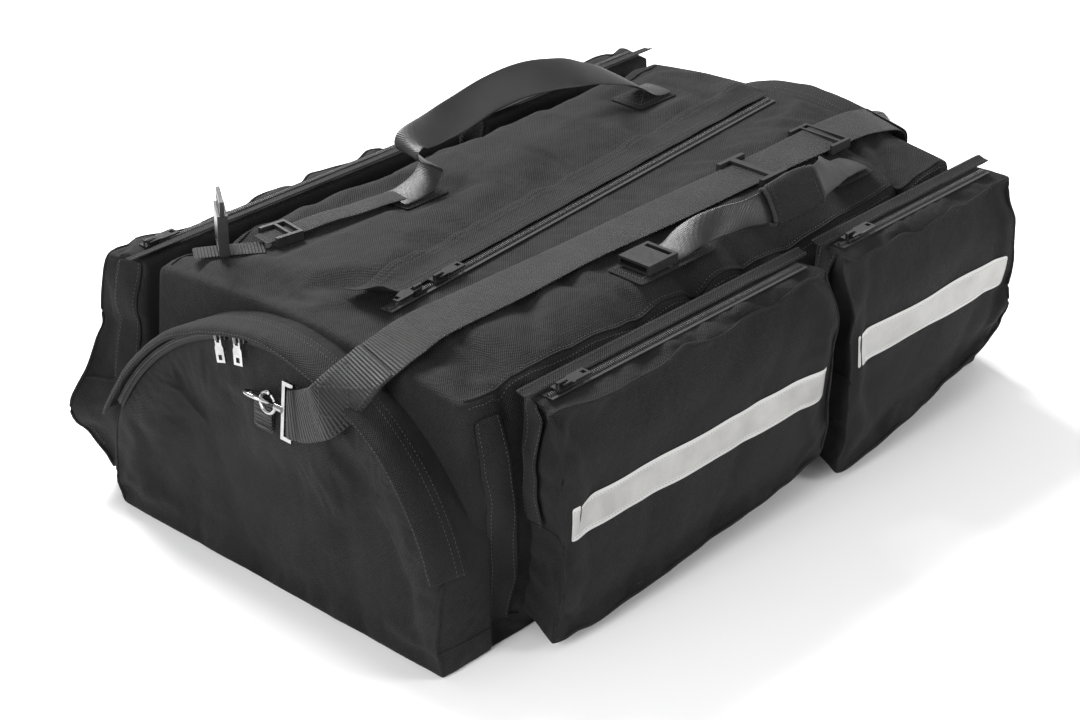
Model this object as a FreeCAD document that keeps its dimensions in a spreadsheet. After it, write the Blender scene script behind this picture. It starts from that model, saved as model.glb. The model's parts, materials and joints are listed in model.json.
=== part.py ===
"""Trauma backpack lying on its back panel: soft shell, pockets, zips, straps and hardware.

X runs along the bag, Y across it and Z up. The origin is on the floor under the middle of
the bag. The near end is at -X and the right side at -Y. All lengths are in millimetres.
"""
import math
import os

import FreeCAD
import Part
import Sketcher

Vector = FreeCAD.Vector
Rotation = FreeCAD.Rotation
Placement = FreeCAD.Placement

X_AXIS = Vector(1, 0, 0)
Y_AXIS = Vector(0, 1, 0)
Z_AXIS = Vector(0, 0, 1)

SIZES = {
    # main compartment
    "body_length": 720, "body_width": 450, "body_side": 222, "body_top": 268, "top_width": 380,
    "shell_wall": 3, "shoulder_round": 30, "floor_round": 12,
    # stiffening inside the back panel
    "pad_length": 690, "pad_width": 410, "pad_thick": 12, "sheet_thick": 2, "sheet_inset": 15,
    # end pockets: a D-shaped front that leans inwards at the top
    "end_arch_radius": 248, "end_arch_height": 14, "end_width": 450, "end_depth": 65,
    "end_lean": 5.5,
    # side pockets
    "pocket_depth": 65, "pocket_top": 250, "pocket_floor": 16, "pocket_top_depth": 46,
    "pocket_belly_low": 60, "pocket_belly_high": 205, "pocket_round": 10,
    "long_pocket_start": -315, "long_pocket_length": 393,
    "left_long_pocket_start": -375, "left_long_pocket_length": 453,
    "short_pocket_start": 103, "short_pocket_length": 282,
    "band_height": 36, "band_thick": 0.8, "band_inset": 3,
    "long_band_level": 116, "left_long_band_level": 136, "short_band_level": 128,
    # zips
    "tape_width": 14, "tape_thick": 1, "coil_width": 6, "coil_top": 3.4,
    "main_zip_length": 640, "main_zip_turn": 5.4, "main_zip_middle": 16, "main_zip_offset": -18,
    "end_zip_radius": 240, "end_zip_sweep": 128, "side_zip_offset": 20, "side_zip_inset": 16,
    "flap_width": 42, "flap_thick": 2,
    # slider and pull tab
    "slider_length": 16, "slider_width": 11, "slider_channel": 7, "slider_low": 1.4,
    "slider_roof": 3.8, "slider_high": 5.4, "bridge_length": 11, "bridge_gap": 7,
    "bridge_width": 3, "bridge_clear": 3.2, "bridge_thick": 1.4,
    "pull_head": 9, "pull_thick": 1.8, "pull_eye": 7, "pull_eye_width": 4.4, "pull_tail": 12,
    "silver_pull": 27, "black_pull": 34, "pull_tail_hole": 5,
    # webbing
    "wide_web": 50, "narrow_web": 25, "web_thick": 2.2,
    "strap_level": 277, "strap_line": 105, "compression_length": 150, "compression_turn": -8,
    # D-ring, its tab and the snap hook
    "ring_radius": 17, "ring_wire": 2, "ring_tilt": 65, "ring_foot": 202, "ring_offset": 5,
    "ring_lift": 5, "tab_length": 34, "tab_thick": 2.4,
    "hook_radius": 10, "hook_lift": 13, "hook_slack": 2.4, "barrel_radius": 3.6, "barrel_length": 8,
    "eye_width": 58, "eye_length": 14, "eye_bar": 4, "eye_thick": 3, "gate_radius": 1.4,
    # carry handles
    "patch_length": 60, "patch_width": 46, "patch_thick": 3, "handle_width": 38,
    "handle_foot_width": 10, "handle_lift": 5.5, "left_handle_rise": 72, "right_handle_rise": 40,
    "wrap_length": 76, "wrap_width": 45, "wrap_thick": 11, "wrap_slot": 39.4, "wrap_gap": 6.4,
    # buckles, ladder locks and the sliding adjuster
    "buckle_length": 42, "buckle_width": 38, "buckle_thick": 10, "buckle_socket": 26,
    "buckle_wall": 2.5, "buckle_bar": 4, "bar_slot": 6, "plug_clear": 0.4, "plug_head": 14,
    "prong_width": 6, "plug_gap": 0.6, "prong_clear": 1, "plug_web": 3,
    "glide_length": 40, "glide_rail": 5, "glide_bar": 6, "glide_thick": 3,
    "lock_length": 30, "lock_rail": 4, "lock_bar": 3, "lock_thick": 3.2, "run_clear": 0.5,
}

doc = FreeCAD.newDocument("trauma_backpack")
sheet = doc.addObject("Spreadsheet::Sheet", "sizes")
parts = {}


class Size:
    """A length that knows both its value and the sheet expression behind it."""

    def __init__(self, text, value):
        self.text = text
        self.value = float(value)

    def join(self, sign, other, value):
        return Size("(%s %s %s)" % (self.text, sign, as_size(other).text), value)

    def __add__(self, other):
        return self.join("+", other, self.value + as_size(other).value)

    def __sub__(self, other):
        return self.join("-", other, self.value - as_size(other).value)

    def __mul__(self, other):
        return self.join("*", other, self.value * as_size(other).value)

    def __truediv__(self, other):
        return self.join("/", other, self.value / as_size(other).value)


def as_size(number):
    if isinstance(number, Size):
        return number
    return Size(repr(float(number)), number)


class Sizes:
    """Gives each named cell of the sheet as a Size."""

    def __getattr__(self, name):
        return Size("sizes." + name, SIZES[name])


size = Sizes()


def fill_sheet():
    for row, (name, value) in enumerate(SIZES.items(), start=1):
        sheet.set("A%d" % row, name)
        sheet.set("B%d" % row, repr(value))
        sheet.setAlias("B%d" % row, name)
    doc.recompute()


def bind(thing, field, length):
    thing.setExpression(field, as_size(length).text)


# ---------------------------------------------------------------- sketches and features

def origin_plane(body, role):
    for plane in body.Origin.OriginFeatures:
        if plane.Role == role:
            return plane
    raise ValueError(role)


def outline(body, name, role, loops):
    """A sketch of closed straight-sided loops, every corner bound to the sheet."""
    sketch = body.newObject("Sketcher::SketchObject", name)
    sketch.AttachmentSupport = (origin_plane(body, role), [""])
    sketch.MapMode = "FlatFace"
    for corners in loops:
        corners = [(as_size(across), as_size(up)) for across, up in corners]
        first = sketch.GeometryCount
        count = len(corners)
        for index in range(count):
            start = corners[index]
            end = corners[(index + 1) % count]
            sketch.addGeometry(Part.LineSegment(Vector(start[0].value, start[1].value, 0),
                                                Vector(end[0].value, end[1].value, 0)), False)
        for index in range(count):
            follower = (index + 1) % count
            sketch.addConstraint(Sketcher.Constraint("Coincident", first + index, 2, first + follower, 1))
        for index, (across, up) in enumerate(corners):
            place_corner(sketch, first + index, "DistanceX", -2, across)
            place_corner(sketch, first + index, "DistanceY", -1, up)
    return sketch


def place_corner(sketch, line, kind, axis, length):
    """Hold one corner at its distance from the sketch origin, or on the axis when that is nought."""
    if abs(length.value) < 1e-9:
        sketch.addConstraint(Sketcher.Constraint("PointOnObject", line, 1, axis))
        return
    row = sketch.addConstraint(Sketcher.Constraint(kind, -1, 1, line, 1, length.value))
    sketch.setExpression("Constraints[%d]" % row, length.text)


def rectangle(length, width, across=0, up=0):
    """Corners of a rectangle about a centre."""
    half_length = as_size(length) / 2
    half_width = as_size(width) / 2
    across = as_size(across)
    up = as_size(up)
    return [(across - half_length, up - half_width), (across + half_length, up - half_width),
            (across + half_length, up + half_width), (across - half_length, up + half_width)]


def new_body(label):
    body = doc.addObject("PartDesign::Body", label)
    body.Label = label
    return body


def pad(body, sketch, length, both_ways=False):
    feature = body.newObject("PartDesign::Pad", sketch.Name + "_pad")
    feature.Profile = sketch
    bind(feature, "Length", length)
    if both_ways:
        feature.SideType = "Symmetric"
    sketch.Visibility = False
    doc.recompute()
    return feature


def round_edges(body, base, radius, wanted):
    """Fillet the edges of the last feature for which wanted(edge) is true."""
    names = ["Edge%d" % (index + 1) for index, edge in enumerate(base.Shape.Edges) if wanted(edge)]
    feature = body.newObject("PartDesign::Fillet", base.Name + "_round")
    feature.Base = (base, names)
    bind(feature, "Radius", radius)
    doc.recompute()
    return feature


def put(thing, place):
    thing.Placement = place


def keep(label, thing):
    """Name a finished sub-part."""
    thing.Label = label
    parts[label] = thing
    return thing


def shift(x, y, z, turn=None):
    return Placement(Vector(x, y, z), turn or Rotation())


def value(name):
    return float(SIZES[name])


# ---------------------------------------------------------------- soft compartments

def compartment_body(label, inset):
    """The main compartment's section, drawn inset from the outside and padded along X."""
    body = new_body(label)
    half = size.body_width / 2 - inset
    shoulder = size.top_width / 2 - inset
    top = size.body_top - inset
    side = size.body_side
    floor = as_size(inset)
    corners = [(half * -1, floor), (half, floor), (half, side),
               (shoulder, top), (shoulder * -1, top), (half * -1, side)]
    sketch = outline(body, label + "_section", "YZ_Plane", [corners])
    block = pad(body, sketch, size.body_length - inset * 2, both_ways=True)

    def high_long_edge(edge):
        middle = edge.BoundBox.Center
        return edge.BoundBox.XLength > 100 and middle.z > 100

    def low_long_edge(edge):
        middle = edge.BoundBox.Center
        return edge.BoundBox.XLength > 100 and middle.z < 30 and abs(middle.y) > 50

    upper = round_edges(body, block, size.shoulder_round, high_long_edge)
    round_edges(body, upper, size.floor_round, low_long_edge)
    return body


def main_compartment():
    outer = compartment_body("main_outside", as_size(0))
    inner = compartment_body("main_inside", size.shell_wall)
    shell = doc.addObject("Part::Cut", "main_compartment")
    shell.Base = outer
    shell.Tool = inner
    keep("main_compartment", shell)


def slab(label, length, width, thick, windows=(), round_radius=None):
    """A flat plate centred on its own Z axis, standing on its XY plane."""
    body = new_body(label)
    loops = [rectangle(length, width)] + list(windows)
    block = pad(body, outline(body, label + "_plan", "XY_Plane", loops), thick)
    if round_radius is not None:
        round_edges(body, block, round_radius, lambda edge: edge.BoundBox.ZLength > 0.5
                    and abs(edge.BoundBox.Center.x) > as_size(length).value / 2 - 0.1)
    return keep(label, body)


def back_panel():
    """The foam pad and the stiffener sheet inside the back panel."""
    pad_floor = value("shell_wall") + 0.5
    foam = slab("back_pad", size.pad_length, size.pad_width, size.pad_thick)
    put(foam, shift(0, 0, pad_floor))
    inset = size.sheet_inset * 2
    stiffener = slab("frame_sheet", size.pad_length - inset, size.pad_width - inset, size.sheet_thick)
    put(stiffener, shift(0, 0, pad_floor + value("pad_thick") + 0.2))


def end_frame(end):
    """Frame of an end's front face: u across, v up the leaning face, w out of it."""
    lean = math.radians(value("end_lean"))
    reach = value("body_length") / 2 + value("end_depth")
    u = Vector(0, end, 0)
    v = Vector(-end * math.sin(lean), 0, math.cos(lean))
    w = Vector(end * math.cos(lean), 0, math.sin(lean))
    matrix = FreeCAD.Matrix(u.x, v.x, w.x, end * reach, u.y, v.y, w.y, 0, u.z, v.z, w.z, 0, 0, 0, 0, 1)
    return Placement(matrix)


def end_pocket(label, end):
    """A D-shaped pocket whose front face leans inwards at the top."""
    body = new_body(label + "_block")
    sketch = body.newObject("Sketcher::SketchObject", label + "_arch")
    sketch.AttachmentSupport = (origin_plane(body, "YZ_Plane"), [""])
    sketch.MapMode = "FlatFace"
    radius = value("end_arch_radius")
    height = value("end_arch_height")
    half = value("end_width") / 2
    low = math.acos(half / radius)
    spring = height + radius * math.sin(low)
    sketch.addGeometry(Part.ArcOfCircle(Part.Circle(Vector(0, height, 0), Z_AXIS, radius), low, math.pi - low))
    sketch.addGeometry(Part.LineSegment(Vector(-half, spring, 0), Vector(-half, 0, 0)))
    sketch.addGeometry(Part.LineSegment(Vector(-half, 0, 0), Vector(half, 0, 0)))
    sketch.addGeometry(Part.LineSegment(Vector(half, 0, 0), Vector(half, spring, 0)))
    sketch.addConstraint(Sketcher.Constraint("Coincident", 0, 2, 1, 1))
    sketch.addConstraint(Sketcher.Constraint("Coincident", 1, 2, 2, 1))
    sketch.addConstraint(Sketcher.Constraint("Coincident", 2, 2, 3, 1))
    sketch.addConstraint(Sketcher.Constraint("Coincident", 3, 2, 0, 1))
    sketch.addConstraint(Sketcher.Constraint("Vertical", 1))
    sketch.addConstraint(Sketcher.Constraint("Vertical", 3))
    sketch.addConstraint(Sketcher.Constraint("PointOnObject", 0, 3, -2))
    place_corner(sketch, 2, "DistanceX", -2, size.end_width * -0.5)
    place_corner(sketch, 2, "DistanceY", -1, as_size(0))
    place_corner(sketch, 3, "DistanceX", -2, size.end_width / 2)
    place_corner(sketch, 3, "DistanceY", -1, as_size(0))
    row = sketch.addConstraint(Sketcher.Constraint("Radius", 0, radius))
    sketch.setExpression("Constraints[%d]" % row, size.end_arch_radius.text)
    row = sketch.addConstraint(Sketcher.Constraint("DistanceY", -1, 1, 0, 3, height))
    sketch.setExpression("Constraints[%d]" % row, size.end_arch_height.text)
    pad(body, sketch, size.end_depth * 2, both_ways=True)
    put(body, shift(end * value("body_length") / 2, 0, 0))
    cutter = doc.addObject("Part::Box", label + "_front_cut")
    reach = value("end_arch_radius") * 2.4
    cutter.Length = reach
    cutter.Width = reach
    cutter.Height = value("end_depth") * 2
    put(cutter, end_frame(end).multiply(shift(-reach / 2, -reach / 4, 0)))
    inside = doc.addObject("Part::Box", label + "_inside_cut")
    inside.Length = value("end_depth") * 2
    inside.Width = reach
    inside.Height = reach
    far_side = value("body_length") / 2
    inside_start = far_side - value("end_depth") * 2 if end > 0 else -far_side
    put(inside, shift(inside_start, -reach / 2, -reach / 4))
    tools = doc.addObject("Part::MultiFuse", label + "_cuts")
    tools.Shapes = [cutter, inside]
    pocket = doc.addObject("Part::Cut", label)
    pocket.Base = body
    pocket.Tool = tools
    keep(label, pocket)


POCKETS = {
    "right_long": (-1, "long"), "right_short": (-1, "short"),
    "left_long": (1, "left_long"), "left_short": (1, "short"),
}


def side_pocket(name, side, kind):
    """A box pocket on one flank: flat top for its zip, upright belly, rounded ends."""
    label = "side_pocket_" + name
    start = getattr(size, kind + "_pocket_start")
    length = getattr(size, kind + "_pocket_length")
    body = new_body(label)
    inner = size.body_width / 2 * side
    outer = inner + size.pocket_depth * side
    lid = inner + size.pocket_top_depth * side
    hem = inner + size.pocket_top_depth * (side * 0.6)
    corners = [(inner, size.pocket_floor), (hem, size.pocket_floor), (outer, size.pocket_belly_low),
               (outer, size.pocket_belly_high), (lid, size.pocket_top), (inner, size.pocket_top)]
    block = pad(body, outline(body, label + "_section", "YZ_Plane", [corners]), length)
    wall = value("body_width") / 2

    def outside_edge(edge):
        middle = edge.BoundBox.Center
        long_edge = edge.BoundBox.XLength > 50
        return abs(middle.y) > wall + 5 and not (long_edge and middle.z < value("pocket_belly_low") - 5)

    round_edges(body, block, size.pocket_round, outside_edge)
    bind(body, "Placement.Base.x", start)
    keep(label, body)


def reflective_band(name, side, kind):
    label = "reflective_band_" + name
    start = value(kind + "_pocket_start")
    inset = size.pocket_round + size.band_inset
    band = slab(label, getattr(size, kind + "_pocket_length") - inset * 2, size.band_height, size.band_thick)
    middle = start + value(kind + "_pocket_length") / 2
    front = side * (value("body_width") / 2 + value("pocket_depth"))
    level = value(kind + "_band_level") + value("band_height") / 2
    put(band, shift(middle, front, level, Rotation(X_AXIS, -90 * side)))


# ---------------------------------------------------------------- zips

def zip_section(middle=0):
    """Tape with the coil standing on it, as one closed outline."""
    middle = as_size(middle)
    tape = size.tape_width / 2
    coil = size.coil_width / 2
    return [(middle - tape, 0), (middle + tape, 0), (middle + tape, size.tape_thick),
            (middle + coil, size.tape_thick), (middle + coil, size.coil_top),
            (middle - coil, size.coil_top), (middle - coil, size.tape_thick),
            (middle - tape, size.tape_thick)]


def straight_zip(label, length, place):
    body = new_body(label)
    pad(body, outline(body, label + "_section", "YZ_Plane", [zip_section()]), length, both_ways=True)
    put(body, place)
    keep(label, body)


def arc_zip(label, end):
    """The zip that goes round an end pocket's arch."""
    body = new_body(label)
    sketch = outline(body, label + "_section", "XZ_Plane", [zip_section(size.end_zip_radius)])
    sweep = body.newObject("PartDesign::Revolution", label + "_sweep")
    sweep.Profile = sketch
    sweep.ReferenceAxis = (sketch, ["V_Axis"])
    bind(sweep, "Angle", size.end_zip_sweep)
    doc.recompute()
    first = 90 - value("end_zip_sweep") / 2
    start = sweep.Shape.BoundBox
    if start.YMin < -1:
        first += value("end_zip_sweep")
    arc = shift(0, value("end_arch_height"), 0, Rotation(Z_AXIS, first))
    put(body, end_frame(end).multiply(arc))
    keep(label, body)


def zip_slider(label, place, bridge_turn=0):
    """A channel over the coil with a bridge on its roof; x is its way of travel."""
    body = new_body(label)
    half = size.slider_width / 2
    channel = size.slider_channel / 2
    section = [(half * -1, size.slider_low), (channel * -1, size.slider_low),
               (channel * -1, size.slider_roof), (channel, size.slider_roof),
               (channel, size.slider_low), (half, size.slider_low),
               (half, size.slider_high), (half * -1, size.slider_high)]
    pad(body, outline(body, label + "_section", "YZ_Plane", [section]), size.slider_length, both_ways=True)
    reach = size.bridge_length / 2
    gap = size.bridge_gap / 2
    roof = size.slider_high
    crown = roof + size.bridge_clear
    arch = [(reach * -1, roof), (gap * -1, roof), (gap * -1, crown), (gap, crown), (gap, roof),
            (reach, roof), (reach, crown + size.bridge_thick), (reach * -1, crown + size.bridge_thick)]
    plane = "YZ_Plane" if bridge_turn else "XZ_Plane"
    pad(body, outline(body, label + "_bridge", plane, [arch]), size.bridge_width, both_ways=True)
    put(body, place)
    keep(label, body)


def pull_tab(label, place, length):
    """A flat tab whose end bar runs under the slider's bridge; x points along the tab."""
    body = new_body(label)
    bar = size.pull_thick / 2
    head = size.pull_head / 2
    tail = size.pull_tail / 2
    neck = bar + size.pull_eye + 2
    plan = [(bar * -1, head * -1), (neck, head * -1), (neck + 3, tail * -1), (length, tail * -1),
            (length, tail), (neck + 3, tail), (neck, head), (bar * -1, head)]
    eye = rectangle(size.pull_eye, size.pull_eye_width, bar + size.pull_eye / 2)
    hole = rectangle(size.pull_tail_hole, size.pull_tail_hole, as_size(length) - size.pull_tail_hole)
    sketch = outline(body, label + "_plan", "XY_Plane", [plan, eye, hole])
    pad(body, sketch, size.pull_thick, both_ways=True)
    lift = shift(0, 0, value("slider_high") + value("bridge_clear") / 2)
    put(body, place.multiply(lift))
    keep(label, body)


def main_zip_frame(along):
    """A place on the main zip line, `along` millimetres from its middle."""
    turn = Rotation(Z_AXIS, value("main_zip_turn"))
    base = shift(value("main_zip_middle"), value("main_zip_offset"), value("body_top"), turn)
    return base.multiply(shift(along, 0, 0))


def end_zip_frame(end, angle):
    """A place on an end zip; angle is measured from the top, towards +u; x is the tangent."""
    centre = shift(0, value("end_arch_height"), 0, Rotation(Z_AXIS, -angle))
    return end_frame(end).multiply(centre).multiply(shift(0, value("end_zip_radius"), 0))


MAIN_SLIDERS = {"1": (-276, 180), "2": (-246, 0)}
END_SLIDERS = {"near_left": (-1, -16.0), "near_right": (-1, -9.5), "far": (1, 12.0)}


def zips():
    straight_zip("main_zip", size.main_zip_length, main_zip_frame(0))
    flap = slab("main_storm_flap", size.main_zip_length, size.flap_width, size.flap_thick)
    put(flap, main_zip_frame(0).multiply(shift(0, (value("tape_width") + value("flap_width")) / 2 + 0.5, 0)))
    for name, (along, facing) in MAIN_SLIDERS.items():
        place = main_zip_frame(along)
        zip_slider("main_slider_" + name, place)
        pull_tab("main_pull_" + name, place.multiply(shift(0, 0, 0, Rotation(Z_AXIS, facing))), size.black_pull)
    for name, end in (("near", -1), ("far", 1)):
        arc_zip("end_zip_" + name, end)
    for name, (end, angle) in END_SLIDERS.items():
        place = end_zip_frame(end, angle)
        zip_slider("end_slider_" + name, place, bridge_turn=90)
        pull_tab("end_pull_" + name, place.multiply(shift(0, 0, 0, Rotation(Z_AXIS, -90))), size.silver_pull)
    for name, (side, kind) in POCKETS.items():
        middle = value(kind + "_pocket_start") + value(kind + "_pocket_length") / 2
        line = side * (value("body_width") / 2 + value("side_zip_offset"))
        place = shift(middle, line, value("pocket_top"))
        length = getattr(size, kind + "_pocket_length") - size.side_zip_inset * 2
        straight_zip("side_zip_" + name, length, place)
        start = place.multiply(shift(-length.value / 2 + value("slider_length") + 2, 0, 0))
        zip_slider("side_slider_" + name, start)
        pull_tab("side_pull_" + name, start, size.black_pull)


# ---------------------------------------------------------------- webbing

def ribbon_sections(stations, thick):
    """The four corners of the webbing at each station of (centre, width direction, width)."""
    sections = []
    for index, (centre, across, width) in enumerate(stations):
        before = stations[max(index - 1, 0)][0]
        after = stations[min(index + 1, len(stations) - 1)][0]
        tangent = (after - before).normalize()
        across = (across - tangent * across.dot(tangent)).normalize()
        normal = tangent.cross(across).normalize()
        side = across * (width / 2)
        face = normal * (thick / 2)
        sections.append([centre - side - face, centre + side - face, centre + side + face, centre - side + face])
    return sections


def flat_face(corners):
    return Part.Face(Part.makePolygon(corners + corners[:1]))


def even_ribbon(stations, thick):
    """Webbing of one width, lofted through its stations."""
    wires = [Part.makePolygon(corners + corners[:1]) for corners in ribbon_sections(stations, thick)]
    return Part.makeLoft(wires, True, True)


def tapered_ribbon(stations, thick):
    """Webbing that narrows to its ends, closed with flat facets so that no section turns over."""
    sections = ribbon_sections(stations, thick)
    faces = [flat_face(sections[0][::-1]), flat_face(sections[-1])]
    for before, after in zip(sections, sections[1:]):
        for index in range(4):
            near, far = index, (index + 1) % 4
            if index == 2:
                faces.append(flat_face([before[near], before[far], after[near]]))
                faces.append(flat_face([before[far], after[far], after[near]]))
            else:
                faces.append(flat_face([before[near], before[far], after[far]]))
                faces.append(flat_face([before[near], after[far], after[near]]))
    shell = Part.makeShell(faces)
    shell.sewShape()
    solid = Part.makeSolid(shell)
    if solid.Volume < 0:
        solid.reverse()
    return solid


def ribbon(label, stations, shaper):
    feature = doc.addObject("Part::Feature", label)
    feature.Shape = shaper(stations, value("web_thick"))
    keep(label, feature)


def strap_end(end):
    """The shoulder strap from its end eye, up the leaning face and over the top edge."""
    frame = end_frame(end)
    hand = -end
    lift = value("hook_lift")
    wide = value("wide_web")
    start = eye_far_side() + value("run_clear")

    def on_face(u, v, w):
        return frame.multVec(Vector(u * hand, v, w))

    upward = frame.Rotation.multVec(Vector(0, 1, 0))
    level = value("strap_level")
    line = -value("strap_line")
    return [
        (on_face(start, hook_centre()[1], lift), upward, wide),
        (on_face(start + 6, hook_centre()[1], lift), upward, wide),
        (on_face(start + 22, 216, lift), Vector(end * 0.05, 0.35, 0.94), wide),
        (on_face(start + 40, 240, lift - 1), Vector(-end * 0.1, 0.7, 0.7), wide),
        (Vector(end * 393, -100, 266), Vector(-end * 0.5, 0.85, 0.2), wide),
        (Vector(end * 358, line, level), Vector(-end * 0.3, 1, 0), wide),
        (Vector(end * 310, line, level), Y_AXIS, wide),
    ]


def shoulder_strap():
    near = strap_end(-1)
    far = strap_end(1)
    ribbon("shoulder_strap", near + far[::-1], even_ribbon)


LEFT_FEET = (Vector(-106, 117, 0), Vector(245, 117, 0))
RIGHT_FEET = (Vector(-20, -162, 0), Vector(229, -162, 0))
LEFT_LEAN = 22
RIGHT_LEAN = -62
LONG_PATCH_EXTRA = 54


def handle_axis_height():
    return value("body_top") + value("patch_thick") + value("handle_lift")


def arch_handle(label, feet, rise, lean, flatness):
    """A carry handle between two sewn feet, pinched narrow where it leaves them."""
    count = 20
    base = Vector(0, 0, handle_axis_height())
    outward = Vector(0, math.sin(math.radians(lean)), math.cos(math.radians(lean)))
    stations = []
    for index in range(count + 1):
        part = index / count
        swell = math.sin(math.pi * part) ** flatness
        centre = feet[0] + (feet[1] - feet[0]) * part + base + outward * (rise * swell)
        narrow = value("handle_foot_width")
        width = narrow + (value("handle_width") - narrow) * min(1.0, swell * 1.6)
        across = Vector(0, outward.z, -outward.y)
        stations.append((centre, across, width))
    ribbon(label, stations, tapered_ribbon)


def handle_patches():
    """The sewn patches under the handles' feet; the long one also carries the right buckle."""
    width = value("patch_width")
    thick = value("patch_thick")
    top = value("body_top")
    long_patch = (value("patch_length") + LONG_PATCH_EXTRA, RIGHT_FEET[0].x - LONG_PATCH_EXTRA / 2)
    solids = []
    for foot in LEFT_FEET + RIGHT_FEET:
        length, middle = value("patch_length"), foot.x
        if foot is RIGHT_FEET[0]:
            length, middle = long_patch
        corner = Vector(middle - length / 2, foot.y - width / 2, top)
        solids.append(Part.makeBox(length, width, thick, corner))
    feature = doc.addObject("Part::Feature", "handle_patches")
    feature.Shape = Part.makeCompound(solids)
    keep("handle_patches", feature)


def handles():
    handle_patches()
    arch_handle("handle_left", LEFT_FEET, value("left_handle_rise"), LEFT_LEAN, 0.75)
    arch_handle("handle_right", RIGHT_FEET, value("right_handle_rise"), RIGHT_LEAN, 0.42)
    wrap = new_body("grip_wrap")
    loops = [rectangle(size.wrap_width, size.wrap_thick), rectangle(size.wrap_slot, size.wrap_gap)]
    pad(wrap, outline(wrap, "wrap_section", "YZ_Plane", loops), size.wrap_length, both_ways=True)
    middle = (RIGHT_FEET[0] + RIGHT_FEET[1]) / 2
    outward = Vector(0, math.sin(math.radians(RIGHT_LEAN)), math.cos(math.radians(RIGHT_LEAN)))
    centre = middle + Vector(0, 0, handle_axis_height()) + outward * (value("right_handle_rise") * 0.985)
    put(wrap, Placement(centre, Rotation(X_AXIS, -RIGHT_LEAN)))
    keep("grip_wrap", wrap)


def compression_strap():
    """The thin strap from the near-left buckle to the left handle's near patch."""
    strap = slab("compression_strap", size.compression_length, size.narrow_web, size.web_thick)
    end_x = LEFT_FEET[0].x - value("patch_length") / 2 - value("compression_length") / 2 - 2
    put(strap, shift(end_x, 131, value("body_top") + 4.4, Rotation(Z_AXIS, value("compression_turn"))))


# ---------------------------------------------------------------- rings and hooks

def fuse(label, shapes):
    joined = doc.addObject("Part::MultiFuse", label)
    joined.Shapes = shapes
    return joined


def rod(name, radius, length, place):
    cylinder = doc.addObject("Part::Cylinder", name)
    bind(cylinder, "Radius", radius)
    bind(cylinder, "Height", length)
    put(cylinder, place)
    return cylinder


def ball(name, radius, place):
    sphere = doc.addObject("Part::Sphere", name)
    bind(sphere, "Radius", radius)
    put(sphere, place)
    return sphere


def ring_arc(name, radius, wire, degrees, place):
    torus = doc.addObject("Part::Torus", name)
    bind(torus, "Radius1", radius)
    bind(torus, "Radius2", wire)
    torus.Angle3 = degrees
    put(torus, place)
    return torus


def d_ring(label, end):
    """Half a ring closed by a straight bar, which turns in the tab."""
    hand = -end
    radius = value("ring_radius")
    bow = ring_arc(label + "_bow", size.ring_radius, size.ring_wire, 180, shift(0, 0, 0))
    bar = rod(label + "_bar", size.ring_wire, size.ring_radius * 2,
              shift(-radius, 0, 0, Rotation(Y_AXIS, 90)))
    corners = [ball(label + "_corner_%d" % side, size.ring_wire * 1.2, shift(side * radius, 0, 0))
               for side in (-1, 1)]
    ring = fuse(label, [bow, bar] + corners)
    local = shift(-hand * value("ring_offset"), value("ring_foot"), value("ring_lift"),
                  Rotation(X_AXIS, value("ring_tilt")))
    put(ring, end_frame(end).multiply(local))
    keep(label, ring)


def ring_tab(label, end):
    """Folded webbing whose rolled top end holds the D-ring's bar, with slack around it."""
    hand = -end
    body = new_body(label)
    roll = size.ring_wire + 1.6
    low = size.ring_lift
    bore = size.ring_wire + 0.4
    section = [(size.tab_length * -1, 0), (roll, 0), (roll, low + roll), (roll * -1, low + roll),
               (roll * -1, size.tab_thick), (size.tab_length * -1, size.tab_thick)]
    hole = rectangle(bore * 2, bore * 2, 0, low)
    pad(body, outline(body, label + "_section", "YZ_Plane", [section, hole]), size.narrow_web, both_ways=True)
    local = shift(-hand * value("ring_offset"), value("ring_foot"), 0)
    put(body, end_frame(end).multiply(local))
    keep(label, body)


def hook_centre():
    """The hook's ring centre in the end frame, for the hand that points away from the D-ring."""
    radius = value("ring_radius")
    tilt = math.radians(value("ring_tilt"))
    rise = (value("hook_lift") - value("ring_lift")) / (radius * math.sin(tilt))
    leg = radius * math.cos(math.asin(rise))
    lean = math.cos(math.asin(rise))
    slack = value("hook_radius") - (value("ring_wire") * 2 + value("hook_slack")) / lean
    across = leg + slack - value("ring_offset")
    up = value("ring_foot") + radius * rise * math.cos(tilt)
    return across, up


def eye_far_side():
    across, _ = hook_centre()
    return across + value("hook_radius") + 1 + value("barrel_length") + value("eye_length")


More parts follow.
